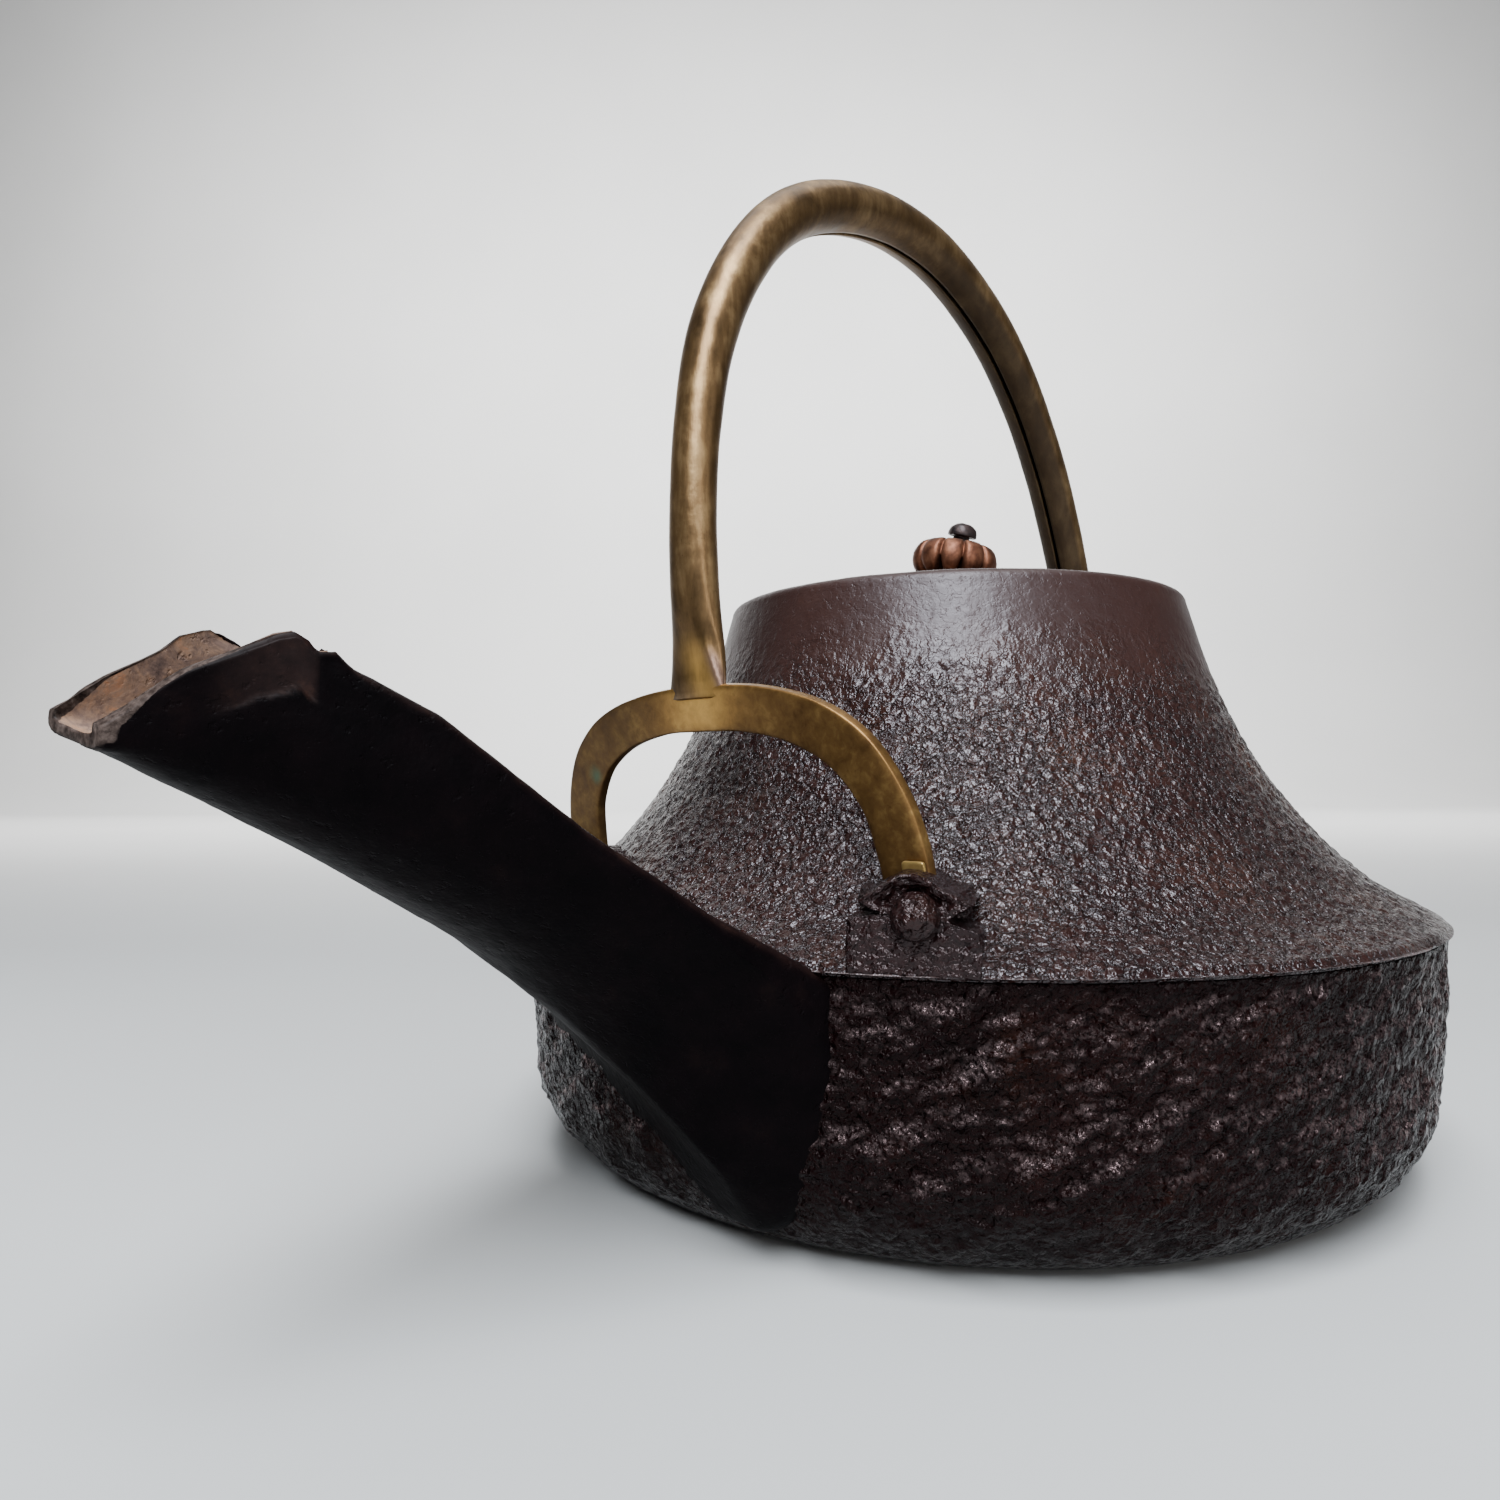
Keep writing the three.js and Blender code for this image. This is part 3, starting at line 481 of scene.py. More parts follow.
class Finish:
    """A material being made: its node tree, its Principled shader and the object's coordinates."""

    def __init__(self, name, **constants):
        self.material = bpy.data.materials.new(name)
        self.material.use_nodes = True
        self.tree = self.material.node_tree
        self.shader = self.tree.nodes["Principled BSDF"]
        for label, value in constants.items():
            self.shader.inputs[label.replace("_", " ")].default_value = value
        self.place = self.node("ShaderNodeTexCoord", {}, {}, "Object")

    def node(self, kind, settings=None, inputs=None, output=0):
        """Adds a node: settings are set first, then each socket gets its value or its link."""
        node = self.tree.nodes.new(kind)
        for label, value in (settings or {}).items():
            if label == "stops":
                self._set_stops(node.color_ramp, value)
            else:
                setattr(node, label, value)
        for label, value in (inputs or {}).items():
            if isinstance(value, Socket):
                self.tree.links.new(value.socket, node.inputs[label])
            else:
                node.inputs[label].default_value = value
        return Socket(self, node.outputs[output])

    @staticmethod
    def _set_stops(color_ramp, stops):
        """Gives a colour ramp its list of (place, colour)."""
        while len(color_ramp.elements) < len(stops):
            color_ramp.elements.new(1.0)
        for element, (position, colour) in zip(color_ramp.elements, stops):
            element.position = position
            element.color = (*colour, 1.0)

    def noise(self, size, detail, roughness, distortion=0.0, stretch=None):
        """Noise from 0 to 1 whose features are about size millimetres across."""
        place = self.place if stretch is None else self.stretched(stretch)
        inputs = {"Vector": place, "Scale": 1 / (size * MM), "Detail": detail,
                  "Roughness": roughness, "Distortion": distortion}
        return self.node("ShaderNodeTexNoise", {}, inputs)

    def vectors(self, operation, inputs, output=0):
        """A Vector Math node."""
        return self.node("ShaderNodeVectorMath", {"operation": operation}, inputs, output)

    def stretched(self, scale):
        """The object's coordinates, each multiplied by its own number."""
        return self.vectors("MULTIPLY", {0: self.place, 1: scale})

    def pushed(self, size, by):
        """The object's coordinates, pushed about by a noise, by that many millimetres."""
        inputs = {"Vector": self.place, "Scale": 1 / (size * MM)}
        push = self.node("ShaderNodeTexNoise", {}, inputs, "Color")
        centred = self.vectors("SUBTRACT", {0: push, 1: (0.5, 0.5, 0.5)})
        scaled = self.vectors("SCALE", {0: centred, "Scale": 2 * by * MM})
        return self.vectors("ADD", {0: self.place, 1: scaled})

    def cells(self, size, vector, feature, **more):
        """Distances in a pattern of cells that are about size millimetres across."""
        inputs = {"Vector": vector, "Scale": 1 / (size * MM), **more}
        return self.node("ShaderNodeTexVoronoi", {"feature": feature}, inputs, "Distance")

    def mask(self, name):
        """A number that the piece stores on its points, or 0 where it stores none."""
        return self.node("ShaderNodeAttribute", {"attribute_name": name}, {}, "Fac")

    def band(self, value, low, high):
        """0 below low, 1 above high, smooth between."""
        inputs = {"Value": value, "From Min": low, "From Max": high}
        return self.node("ShaderNodeMapRange", {"interpolation_type": "SMOOTHSTEP"}, inputs)

    def colours(self, value, stops):
        """The colour at a value, read off a list of (place, colour)."""
        return self.node("ShaderNodeValToRGB", {"stops": stops}, {"Fac": value})

    def mix(self, factor, first, second):
        """Colour mix from first to second."""
        first, second = (c if isinstance(c, Socket) else (*c, 1.0) for c in (first, second))
        settings = {"data_type": "RGBA", "blend_type": "MIX"}
        return self.node("ShaderNodeMix", settings, {0: factor, 6: first, 7: second}, 2)

    def axis(self, name):
        """One of the object's coordinates, in metres."""
        return self.node("ShaderNodeSeparateXYZ", {}, {0: self.place}, name)

    def bump(self, height, depth, strength, under=None):
        """A Bump node: height from 0 to 1 stands for that many millimetres."""
        inputs = {"Height": height, "Distance": depth * MM, "Strength": strength}
        if under is not None:
            inputs["Normal"] = under
        return self.node("ShaderNodeBump", {}, inputs)

    def set(self, **sockets):
        """Links what varies over the surface to the shader."""
        for label, value in sockets.items():
            self.tree.links.new(value.socket, self.shader.inputs[label.replace("_", " ")])
        return self.material


# Finishes. The stops of a colour table are places along a noise from 0 to 1
# Painted shade: the spout's iron is made near-black for the shade on its near wall
SHADED_BLACK = [
    (0.35, (0.0008, 0.0004, 0.0007)), (0.6, (0.0019, 0.0009, 0.0013)),
    (0.8, (0.0048, 0.0022, 0.0023)),
]
WORN_RED = [
    (0.3, (0.0050, 0.0022, 0.0022)), (0.55, (0.0110, 0.0050, 0.0044)),
    (0.75, (0.024, 0.011, 0.008)),
]
# Rust inside the spout's open tip, in tones painted lighter for the light that falls into it
LIT_RUST_TONES = [
    (0.28, (0.065, 0.046, 0.042)), (0.44, (0.17, 0.112, 0.090)), (0.56, (0.28, 0.177, 0.122)),
    (0.68, (0.40, 0.19, 0.10)), (0.82, (0.18, 0.155, 0.148)),
]
BARE_GREY = [
    (0.32, (0.008, 0.005, 0.0045)), (0.48, (0.036, 0.025, 0.021)), (0.72, (0.10, 0.074, 0.064)),
]
COPPER_TONES = [
    (0.3, (0.048, 0.017, 0.010)), (0.5, (0.135, 0.051, 0.027)), (0.72, (0.25, 0.108, 0.060)),
]
NAIL_TONES = [(0.35, (0.018, 0.013, 0.014)), (0.7, (0.06, 0.035, 0.03))]
LID_TONES = [
    (0.3, (0.035, 0.020, 0.014)), (0.55, (0.075, 0.042, 0.026)), (0.8, (0.13, 0.075, 0.04)),
]
PAPER_TONES = [(0.0, (0.45, 0.45, 0.445)), (1.0, (0.51, 0.51, 0.505))]
CRACK_TONE = (0.003, 0.0015, 0.0015)
# Painted highlight: the lighter line along the rim flash's top edge
RIM_HIGHLIGHT = (0.13, 0.102, 0.100)
# Painted glint: the lighter, metallic tone of up-facing grains on the drum
GLINT_TONE = (0.075, 0.053, 0.053)
# Darker brass: on the tube, painted shade on the faces turned in under the arch
DARKENED_TONE = (0.022, 0.015, 0.010)
RUBBED_TONE = (0.66, 0.38, 0.10)
SOLDER_TONE = (0.30, 0.19, 0.155)
GREEN_TONE = (0.06, 0.13, 0.085)
TURNING_PITCH = 0.9


def lacquered_iron(name, *, specular, tint, gloss_start, clump_depth, pebble_depth, grit_depth,
                   crack_depth, deep, middling, light, rusty, neck):
    """Pebbled casting under an old lacquer: glossy grains, dark cracks between them, a smooth neck.

    The piece's own masks say where a painted highlight runs along the rim and where up-facing
    grains get a painted glint.
    """
    f = Finish(name, Metallic=0.0, Specular_IOR_Level=specular, Specular_Tint=(*tint, 1.0))
    calm = f.band(f.axis("Z") + f.noise(7, 4, 0.6) * 0.022, 0.092, 0.116)
    rough = 1 - calm * 0.92
    grains = f.cells(1.5, f.pushed(1.3, 0.8), "SMOOTH_F1", Smoothness=0.35)
    cracks = f.band(f.cells(2.4, f.pushed(1.6, 1.7), "DISTANCE_TO_EDGE"), 0.0, 0.13)
    coarse = f.bump(f.noise(2.2, 3, 0.55, 0.2) * rough, clump_depth, 0.9)
    middle = f.bump(grains * rough, pebble_depth, 0.9, coarse)
    broken = f.bump(cracks * rough, crack_depth, 0.8, middle)
    turning = f.noise(0.55, 3, 0.6, 0, (0.25, 0.25, 1))
    drawn = f.noise(1.6, 3, 0.6, 0, (1, 1, 0.12))
    pits = f.band(f.noise(1.3, 3, 0.6), 0.3, 0.4)
    lined = f.bump((turning * 0.5 + drawn * 0.3 + pits * 0.5) * calm, 0.11, 0.8, broken)
    fine = f.bump(f.noise(0.7, 3, 0.65) * (rough * 0.7 + 0.3), grit_depth, 0.7, lined)
    base = f.colours(f.noise(15, 4, 0.6), [(0.3, deep), (0.55, middling), (0.75, light)])
    base = f.mix(f.band(f.noise(26, 5, 0.65), 0.5, 0.72) * 0.6, base, rusty)
    base = f.mix(calm * 0.7, base, neck)
    base = f.mix((1 - cracks) * rough * 0.6, base, CRACK_TONE)
    # Painted highlight: a lighter, broken line along the rim flash's top edge
    base = f.mix(f.mask("edge") * f.band(f.noise(4, 4, 0.7), 0.34, 0.52), base, RIM_HIGHLIGHT)
    # Painted glint: up-facing grains get a lighter tone and turn metallic, so they catch the lamps
    polish = f.mask("polish") * f.band(f.noise(0.8, 4, 0.7), 0.44, 0.58)
    base = f.mix(polish, base, GLINT_TONE)
    gloss = f.noise(3.0, 4, 0.7) * 0.2 + gloss_start + calm * 0.26
    return f.set(Base_Color=base, Roughness=gloss, Metallic=polish * 0.9, Normal=fine)


def spout_iron():
    """Smooth iron painted near-black for shade, reddish on worn edges, and inside the open tip rust
    painted lighter as if lit.
    """
    f = Finish("spout_iron", Metallic=0.0, Specular_IOR_Level=0.03, Coat_Roughness=0.4)
    swollen = f.bump(f.noise(5, 3, 0.5), 0.5, 0.7)
    pitted = f.bump(f.band(f.noise(1.6, 3, 0.6), 0.28, 0.42), 0.16, 0.7, swollen)
    fine = f.bump(f.noise(0.6, 4, 0.6), 0.1, 0.7, pitted)
    ragged = f.noise(2.2, 5, 0.7) * 0.5 - 0.25
    lip = f.mask("lip")
    worn = f.mask("wear") * (ragged * 1.2 + 0.8)
    inside = f.band(f.mask("hollow") + ragged, 0.35, 0.6)
    bare = f.band(lip + ragged * 0.7, 0.4, 0.65)
    lit_rust_share = inside * (1 - f.band(lip + ragged, 0.3, 0.9) * 0.4)
    # Painted shade: near-black tones that stand in for the shade on the spout's near wall
    base = f.colours(f.noise(9, 5, 0.65), SHADED_BLACK)
    base = f.mix(worn, base, f.colours(f.noise(3, 5, 0.7), WORN_RED))
    # Rust inside the tip, in tones painted lighter as if lit from above
    base = f.mix(lit_rust_share, base, f.colours(f.noise(4, 6, 0.75, 0.6), LIT_RUST_TONES))
    base = f.mix(bare, base, f.colours(f.noise(1.3, 4, 0.7), BARE_GREY))
    gloss = f.noise(2.4, 4, 0.7) * 0.25 + 0.42
    shine = worn.most(inside).most(bare) * 0.12
    return f.set(Base_Color=base, Roughness=gloss, Coat_Weight=shine, Normal=fine)


def aged_brass(name, deep, middle, bright, streaked=(1, 1, 1)):
    """Satin brass under an olive-brown patina, in streaks and blotches, with fine scratches.

    It is darkened, rubbed bright, soldered or turned green where the piece's own masks say so; on
    the tube the darkening is painted shade.
    """
    f = Finish(name, Metallic=0.8, Specular_IOR_Level=0.5)
    blotches = f.noise(11, 5, 0.62, 0.3)
    streaks = f.noise(2.2, 5, 0.65, 0.4, streaked)
    smoke = f.mask("smoke")
    base = f.colours(blotches * 0.6 + streaks * 0.4, [(0.3, deep), (0.5, middle), (0.68, bright)])
    base = f.mix(f.band(f.noise(0.9, 3, 0.6), 0.62, 0.75) * 0.35, base, deep)
    # Darkening: on the tube it is painted shade on the faces turned in under the arch
    base = f.mix(smoke * 0.8, base, DARKENED_TONE)
    base = f.mix(f.mask("rubbed") * (streaks * 1.2 + 0.2), base, RUBBED_TONE)
    base = f.mix(f.mask("solder") * (streaks + 0.3), base, SOLDER_TONE)
    base = f.mix(f.mask("green") * 0.7, base, GREEN_TONE)
    dents = f.bump(f.noise(4.5, 3, 0.5), 0.25, 0.7)
    scratches = f.bump(f.noise(0.35, 3, 0.6, 0, streaked), 0.025, 0.6, dents)
    gloss = blotches * 0.25 + streaks * 0.15 + 0.17 + smoke * 0.25
    return f.set(Base_Color=base, Roughness=gloss, Normal=scratches)


def rubbed_copper():
    """Mottled reddish-brown copper with a satin skin."""
    f = Finish("rubbed_copper", Metallic=0.8, Specular_IOR_Level=0.5)
    mottle = f.noise(2.6, 5, 0.65)
    fine = f.bump(f.noise(0.5, 4, 0.6), 0.05, 0.7)
    base = f.colours(mottle, COPPER_TONES)
    return f.set(Base_Color=base, Roughness=mottle * 0.3 + 0.33, Normal=fine)


def forged_nail():
    """Dark forged iron, brown where it was hammered."""
    f = Finish("forged_nail", Metallic=0.6)
    mottle = f.noise(1.4, 4, 0.6)
    fine = f.bump(f.noise(0.6, 3, 0.6), 0.08, 0.8)
    base = f.colours(mottle, NAIL_TONES)
    return f.set(Base_Color=base, Roughness=mottle * 0.3 + 0.28, Normal=fine)


def lid_bronze():
    """Dark brown patinated bronze with a fine orange-peel skin and faint turning rings."""
    f = Finish("lid_bronze", Metallic=0.7)
    mottle = f.noise(8, 5, 0.6)
    radius = f.vectors("LENGTH", {0: f.stretched((1, 1, 0))}, "Value")
    turns = radius * (tau / (TURNING_PITCH * MM))
    rings = f.node("ShaderNodeMath", {"operation": "SINE"}, {0: turns})
    skin = f.bump(f.noise(0.8, 4, 0.6), 0.08, 0.8)
    lines = f.bump(rings * 0.5 + 0.5, 0.02, 0.5, skin)
    base = f.colours(mottle, LID_TONES)
    return f.set(Base_Color=base, Roughness=mottle * 0.2 + 0.3, Normal=lines)


DRUM_IRON = lacquered_iron(
    "drum_iron", specular=0.07, tint=(1.0, 0.82, 0.80), gloss_start=0.02,
    clump_depth=1.4, pebble_depth=1.1, grit_depth=0.28, crack_depth=0.08,
    deep=(0.0022, 0.0006, 0.0008), middling=(0.0042, 0.0011, 0.0012),
    light=(0.0078, 0.0022, 0.0018), rusty=(0.017, 0.0050, 0.0024), neck=(0.008, 0.003, 0.003),
)
SLOPE_IRON = lacquered_iron(
    "slope_iron", specular=0.48, tint=(0.96, 0.94, 1.0), gloss_start=0.04,
    clump_depth=1.05, pebble_depth=0.6, grit_depth=0.14, crack_depth=0.26,
    deep=(0.0110, 0.0042, 0.0040), middling=(0.0190, 0.0075, 0.0064),
    light=(0.0290, 0.0120, 0.0090), rusty=(0.046, 0.0180, 0.0100), neck=(0.027, 0.0110, 0.0082),
)
LUG_IRON = lacquered_iron(
    "lug_iron", specular=0.3, tint=(1.0, 0.84, 0.85), gloss_start=0.06,
    clump_depth=1.2, pebble_depth=0.7, grit_depth=0.26, crack_depth=0.08,
    deep=(0.0070, 0.0026, 0.0028), middling=(0.0115, 0.0044, 0.0044),
    light=(0.0175, 0.0072, 0.0062), rusty=(0.026, 0.0100, 0.0066), neck=(0.016, 0.0065, 0.0055),
)
SPOUT_IRON = spout_iron()
FORK_BRASS = aged_brass(
    "fork_brass",
    deep=(0.085, 0.036, 0.010), middle=(0.23, 0.120, 0.035), bright=(0.46, 0.28, 0.088),
)
TUBE_BRASS = aged_brass(
    "tube_brass", streaked=(1, 1, 0.22),
    deep=(0.050, 0.028, 0.011), middle=(0.142, 0.082, 0.034), bright=(0.31, 0.20, 0.092),
)
BRIGHT_BRASS = aged_brass(
    "bright_brass",
    deep=(0.3, 0.19, 0.06), middle=(0.5, 0.33, 0.11), bright=(0.62, 0.43, 0.16),
)
COPPER = rubbed_copper()
NAIL_IRON = forged_nail()
LID_BRONZE = lid_bronze()


# Body
def slope_curve():
    """The mountain slope as a fine line of [radius, height]."""
    return curve_through(SLOPE, 400)


def slope_height(radius):
    """Height of the shoulder's surface at a distance from the axis."""
    line = slope_curve()[::-1]
    return np.interp(radius, line[:, 0], line[:, 1])


def offset_line(line, inwards):
    """A profile moved along its own normal."""
    step = np.gradient(line, axis=0)
    step /= np.linalg.norm(step, axis=1)[:, None]
    return line + inwards * np.stack([-step[:, 1], step[:, 0]], axis=1)


def cast_skin(points, seed, size):
    """Wrinkled casting, about -1 to 1: pushed-about pebbles parted by furrows, on a slow swell."""
    push = np.stack([soft_noise(points, 0.8 * size, seed + k) for k in range(3)], axis=-1)
    squashed = (points + 0.34 * size * push) * np.array([1.0, 1.0, 1.35])
    nearest, second = scattered(squashed, size, seed + 11)
    furrow = np.clip((second - nearest) / 0.4, 0, 1)
    dome = 1 - nearest
    swell = layered_noise(points, 2.2 * size, seed + 23)
    return 0.75 * (furrow - 0.7) + 0.5 * (dome - 0.5) + 0.55 * swell


def unrolled(points, slant):
    """The drum's wall laid flat and turned by a slant, and halved in length to draw noise out."""
    around = DRUM_RADIUS * np.arctan2(points[:, 1], points[:, 0])
    along = around * cos(slant) + points[:, 2] * sin(slant)
    across = points[:, 2] * cos(slant) - around * sin(slant)
    return np.stack([along / 2, across, 0 * along], axis=1)


def drum_profile():
    """Flat base, an elliptic corner, a slightly flaring wall up to the parting, and back inside."""
    top = PARTING_HEIGHT - PARTING_GAP
    turn = np.linspace(0, pi / 2, 60)
    corner = np.stack([
        BASE_RADIUS + (DRUM_RADIUS - BASE_RADIUS) * np.sin(turn),
        CORNER_HEIGHT * (1 - np.cos(turn)),
    ], axis=1)
    outside = np.vstack([corner, [[DRUM_TOP_RADIUS, top]]])
    inside = offset_line(even_steps(outside, 60), WALL)
    inside[:, 1] = np.maximum(inside[:, 1], WALL)
    inside[-1, 1] = top
    return np.vstack([
        even_steps([[0, 0], [BASE_RADIUS - 0.8, 0]], 9),
        even_steps(outside, 84),
        even_steps(inside[::-1], 20),
        even_steps([[inside[0, 0], WALL], [0, WALL]], 6)[1:],
    ])


def drum():
    """The drum's profile turned about the axis, its outside covered with a casting skin."""
    piece = make_piece("kettle_drum", [(turned(drum_profile(), DRUM_COLUMNS), False, True)],
                       DRUM_IRON, "kettle", "body_drum")

    def relief(points, normal):
        """Pebbles, with swells and pits laid slantwise; none underneath, and less at the rim."""
        height = points[:, 2]
        faces_out = normal[:, 0] * points[:, 0] + normal[:, 1] * points[:, 1] > 0
        outer = ramp(from_axis(points), *SKIN_FROM_RADIUS) * ramp(height, *SKIN_FROM_HEIGHT)
        fade = 1 - 0.6 * ramp(height, *DRUM_RIM_FADE)
        slantwise = unrolled(points, DRUM_SLANT)
        swells = 1.5 * layered_noise(slantwise, DRUM_CLUMP, 5)
        pits = 0.5 * scattered(slantwise, DRUM_PIT, 9)[0]
        clumps = 0.7 * cast_skin(points, 3, DRUM_PEBBLE) + swells - pits
        waves = 0.03 * layered_noise(points, 3, 7) * (height > 0.5)
        return (0.55 * clumps - 0.1) * (outer * faces_out) * fade + waves

    roughen(piece, relief)
    place, normal = points_of(piece)
    outer = from_axis(place) > BASE_RADIUS + 6
    below_seam = place[:, 2] < PARTING_HEIGHT - 0.5
    # Painted glint mask: faces turned upwards on the drum's outside, below the seam
    paint_mask(piece, "polish", ramp(normal[:, 2], -0.04, 0.22) * outer * below_seam)


def shoulder_profile():
    """Rim flash, mountain slope, rounded crest, the lid's seat, the mouth, and back inside."""
    slope = slope_curve()
    end_radius, end_height = SLOPE[-1]
    turn = np.linspace(0, pi / 2, 12)
    crest = np.stack([
        NECK_CREST_RADIUS + (end_radius - NECK_CREST_RADIUS) * np.cos(turn),
        end_height + (NECK_TOP - end_height) * np.sin(turn),
    ], axis=1)
    floor = DRUM_TOP_RADIUS - WALL
    inner = offset_line(slope, WALL)
    inner = inner[(inner[:, 1] < MOUTH_BOTTOM - WALL) & (inner[:, 0] < floor)]
    return np.vstack([
        even_steps([[floor, PARTING_HEIGHT], [RIM_PROFILE[0][0], PARTING_HEIGHT]], 4),
        even_steps(RIM_PROFILE, 7),
        even_steps(np.vstack([slope, crest]), 118)[1:],
        [[SEAT_RADIUS + 0.6, NECK_TOP - 0.05], [SEAT_RADIUS, NECK_TOP - 0.5]],
        [[SEAT_RADIUS, SEAT_HEIGHT], [MOUTH_RADIUS + 0.4, SEAT_HEIGHT]],
        [[MOUTH_RADIUS, SEAT_HEIGHT - 0.4], [MOUTH_RADIUS, MOUTH_BOTTOM]],
        even_steps(inner[::-1], 22),
    ])


def shoulder():
    """The shoulder's profile turned about the axis, pebbled below and smooth at the neck."""
    piece = make_piece("kettle_shoulder", [(turned(shoulder_profile(), SLOPE_COLUMNS), True, True)],
                       SLOPE_IRON, "kettle", "body_shoulder")

    def relief(points, normal):
        """Pebbles that calm towards the neck, a slow swell, and a rim flash with nicks in it."""
        radius, height = from_axis(points), points[:, 2]
        outward = (normal[:, 0] * points[:, 0] + normal[:, 1] * points[:, 1]) / radius
        outer = ((outward > 0.05) | (normal[:, 2] > 0.3)) & (height > FLASH_TOP)
        calm = 1 - 0.93 * ramp(height, *NECK_CALM)
        skin = 0.34 * cast_skin(points, 41, SLOPE_PEBBLE) * calm * outer
        slow = 0.10 * layered_noise(points, 9, 47) * (height > 50)
        flash = (height < FLASH_TOP) & (radius > DRUM_TOP_RADIUS)
        nicks = np.clip(soft_noise(points, FLASH_NICK, 53) - 0.35, 0, 1) * 1.3
        ragged = 0.16 * layered_noise(points, 2.2, 59) + 0.22 * soft_noise(points, 14, 61)
        return skin * ramp(height, *SLOPE_SKIN_START) + slow + flash * (ragged - nicks - 0.4)

    roughen(piece, relief)
    place, normal = points_of(piece)
    # Painted highlight mask: the top of the rim flash, on faces not turned down
    on_rim = ramp(from_axis(place), 94.2, 94.5) * (1 - ramp(place[:, 2], 47.55, 47.8))
    paint_mask(piece, "edge", on_rim * ramp(normal[:, 2], -0.7, -0.1))


# Spout. Distances s run from the kettle's axis towards the tip
def spout_half(s):
    """Half the spout's width, which shrinks evenly towards the tip."""
    return SPOUT_TIP_HALF_WIDTH + SPOUT_FLARE * (SPOUT_TIP - s)


def spout_roll(s):
    """The angle that a section is rolled by, growing as a power of the distance along."""
    share = (s - SPOUT_ROLL_START) / (SPOUT_TIP - SPOUT_ROLL_START)
    return SPOUT_ROLL_TIP * np.clip(share, 0, 1) ** 1.6


def spout_middle(s):
    """The height that a section rolls about, halfway between its keel and its near top edge."""
    return (smooth_off(SPOUT_KEEL, s) + read_off(SPOUT_TOP_NEAR, s)) / 2


def spout_slant(s, across):
    """How far a point near the tip is drawn back: none on the far wall, most on the near one."""
    near_share = 0.5 - 0.5 * across / spout_half(s)
    return SPOUT_TIP_SLANT * ramp(s, SPOUT_SLANT_START, SPOUT_TIP) * near_share


def spout_top(s, side):
    """Height of the wall's top edge: side runs from 1, the far wall, to -1, the near wall."""
    share = (side + 1) / 2
    return share * read_off(SPOUT_TOP_FAR, s) + (1 - share) * read_off(SPOUT_TOP_NEAR, s)


def spout_placed(s, across, height):
    """Turns a section by the spout's roll about its own middle and stands it at distance s."""
    centre, roll = spout_middle(s), spout_roll(s)
    lifted = height - centre
    y = across * np.cos(roll) - lifted * np.sin(roll)
    z = centre + across * np.sin(roll) + lifted * np.cos(roll)
    return np.stack([-s + spout_slant(s, across) + 0 * y, y, z], axis=-1)


def spout_section(points):
    """Back from placed points to s, the place across, and the depth below the wall's top edge."""
    s = -points[:, 0]
    for _ in range(3):
        centre, roll = spout_middle(s), spout_roll(s)
        lifted = points[:, 2] - centre
        across = points[:, 1] * np.cos(roll) + lifted * np.sin(roll)
        height = centre + lifted * np.cos(roll) - points[:, 1] * np.sin(roll)
        s = spout_slant(s, across) - points[:, 0]
    return s, across, spout_top(s, np.sign(across)) - height


def spout_trough(s, inset, closed_drop):
    """The trough's wall from its far top edge down round the keel and up to its near top edge.

    Columns: a short arc over the edge, a straight side, then the keel, whose reach to each side is
    cos^p and whose depth is sin^q of an angle that runs from 0 to pi, and the same again on the
    near side. The outer wall has no closed_drop; the inner wall's edges end that far below the top.
    """
    s = s[:, None]
    half = spout_half(s) - inset
    if closed_drop is None:
        edge, drop = np.minimum(read_off(SPOUT_EDGE, s), 0.6 * half), 0 * s
    else:
        edge, drop = 0 * s + 0.05, closed_drop[:, None]
    keel = smooth_off(SPOUT_KEEL, s) + inset
    flank = read_off(SPOUT_KEEL_SHARE, s) * (spout_top(s, 0 * s) - drop - keel)
    angle = np.linspace(0, pi, 61)[None, :]
    depth_share = np.sin(angle) ** read_off(SPOUT_KEEL_POINT, s)
    skew = -read_off(SPOUT_SKEW, s)
    side = np.sign(np.cos(angle))
    reach_share = np.abs(np.cos(angle)) ** read_off(SPOUT_SIDE_POWER, s)
    bottom_across = skew + side * (half - side * skew) * reach_share
    bottom_height = keel + flank * (1 - depth_share)
    turn = np.linspace(0, pi / 2, 6)[None, :]
    down = np.linspace(0, 1, 22)[None, 1:-1]
    walls = []
    for side in (1, -1):
        top = spout_top(s, side + 0 * s) - drop
        arc_across = side * (half - edge * (1 - np.sin(turn)))
        arc_height = top - edge * (1 - np.cos(turn))
        straight = (top - edge) + (keel + flank - (top - edge)) * down
        across = np.hstack([arc_across, side * half + 0 * straight])
        walls.append((across, np.hstack([arc_height, straight])))
    (far_across, far_height), (near_across, near_height) = walls
    across = np.hstack([far_across, bottom_across, near_across[:, ::-1]])
    height = np.hstack([far_height, bottom_height, near_height[:, ::-1]])
    return spout_placed(s, across, height), half - edge


def spout_roof(s, half, drop):
    """The roof between the two walls: slightly crowned, its crown fading towards the mouth."""
    s = s[:, None]
    side = np.linspace(-1, 1, 25)[None, :]
    fade = ramp(SPOUT_MOUTH_START - s, 0, 40)
    crown = half * SPOUT_ROOF_CROWN * fade * (1 - side**2)
    return spout_placed(s, half * side, spout_top(s, side) - drop[:, None] + crown)


def strip(first, second, steps=1):
    """Rows of points from one line to another."""
    share = np.linspace(0, 1, steps + 1)[:, None, None]
    return first[None] * (1 - share) + second[None] * share


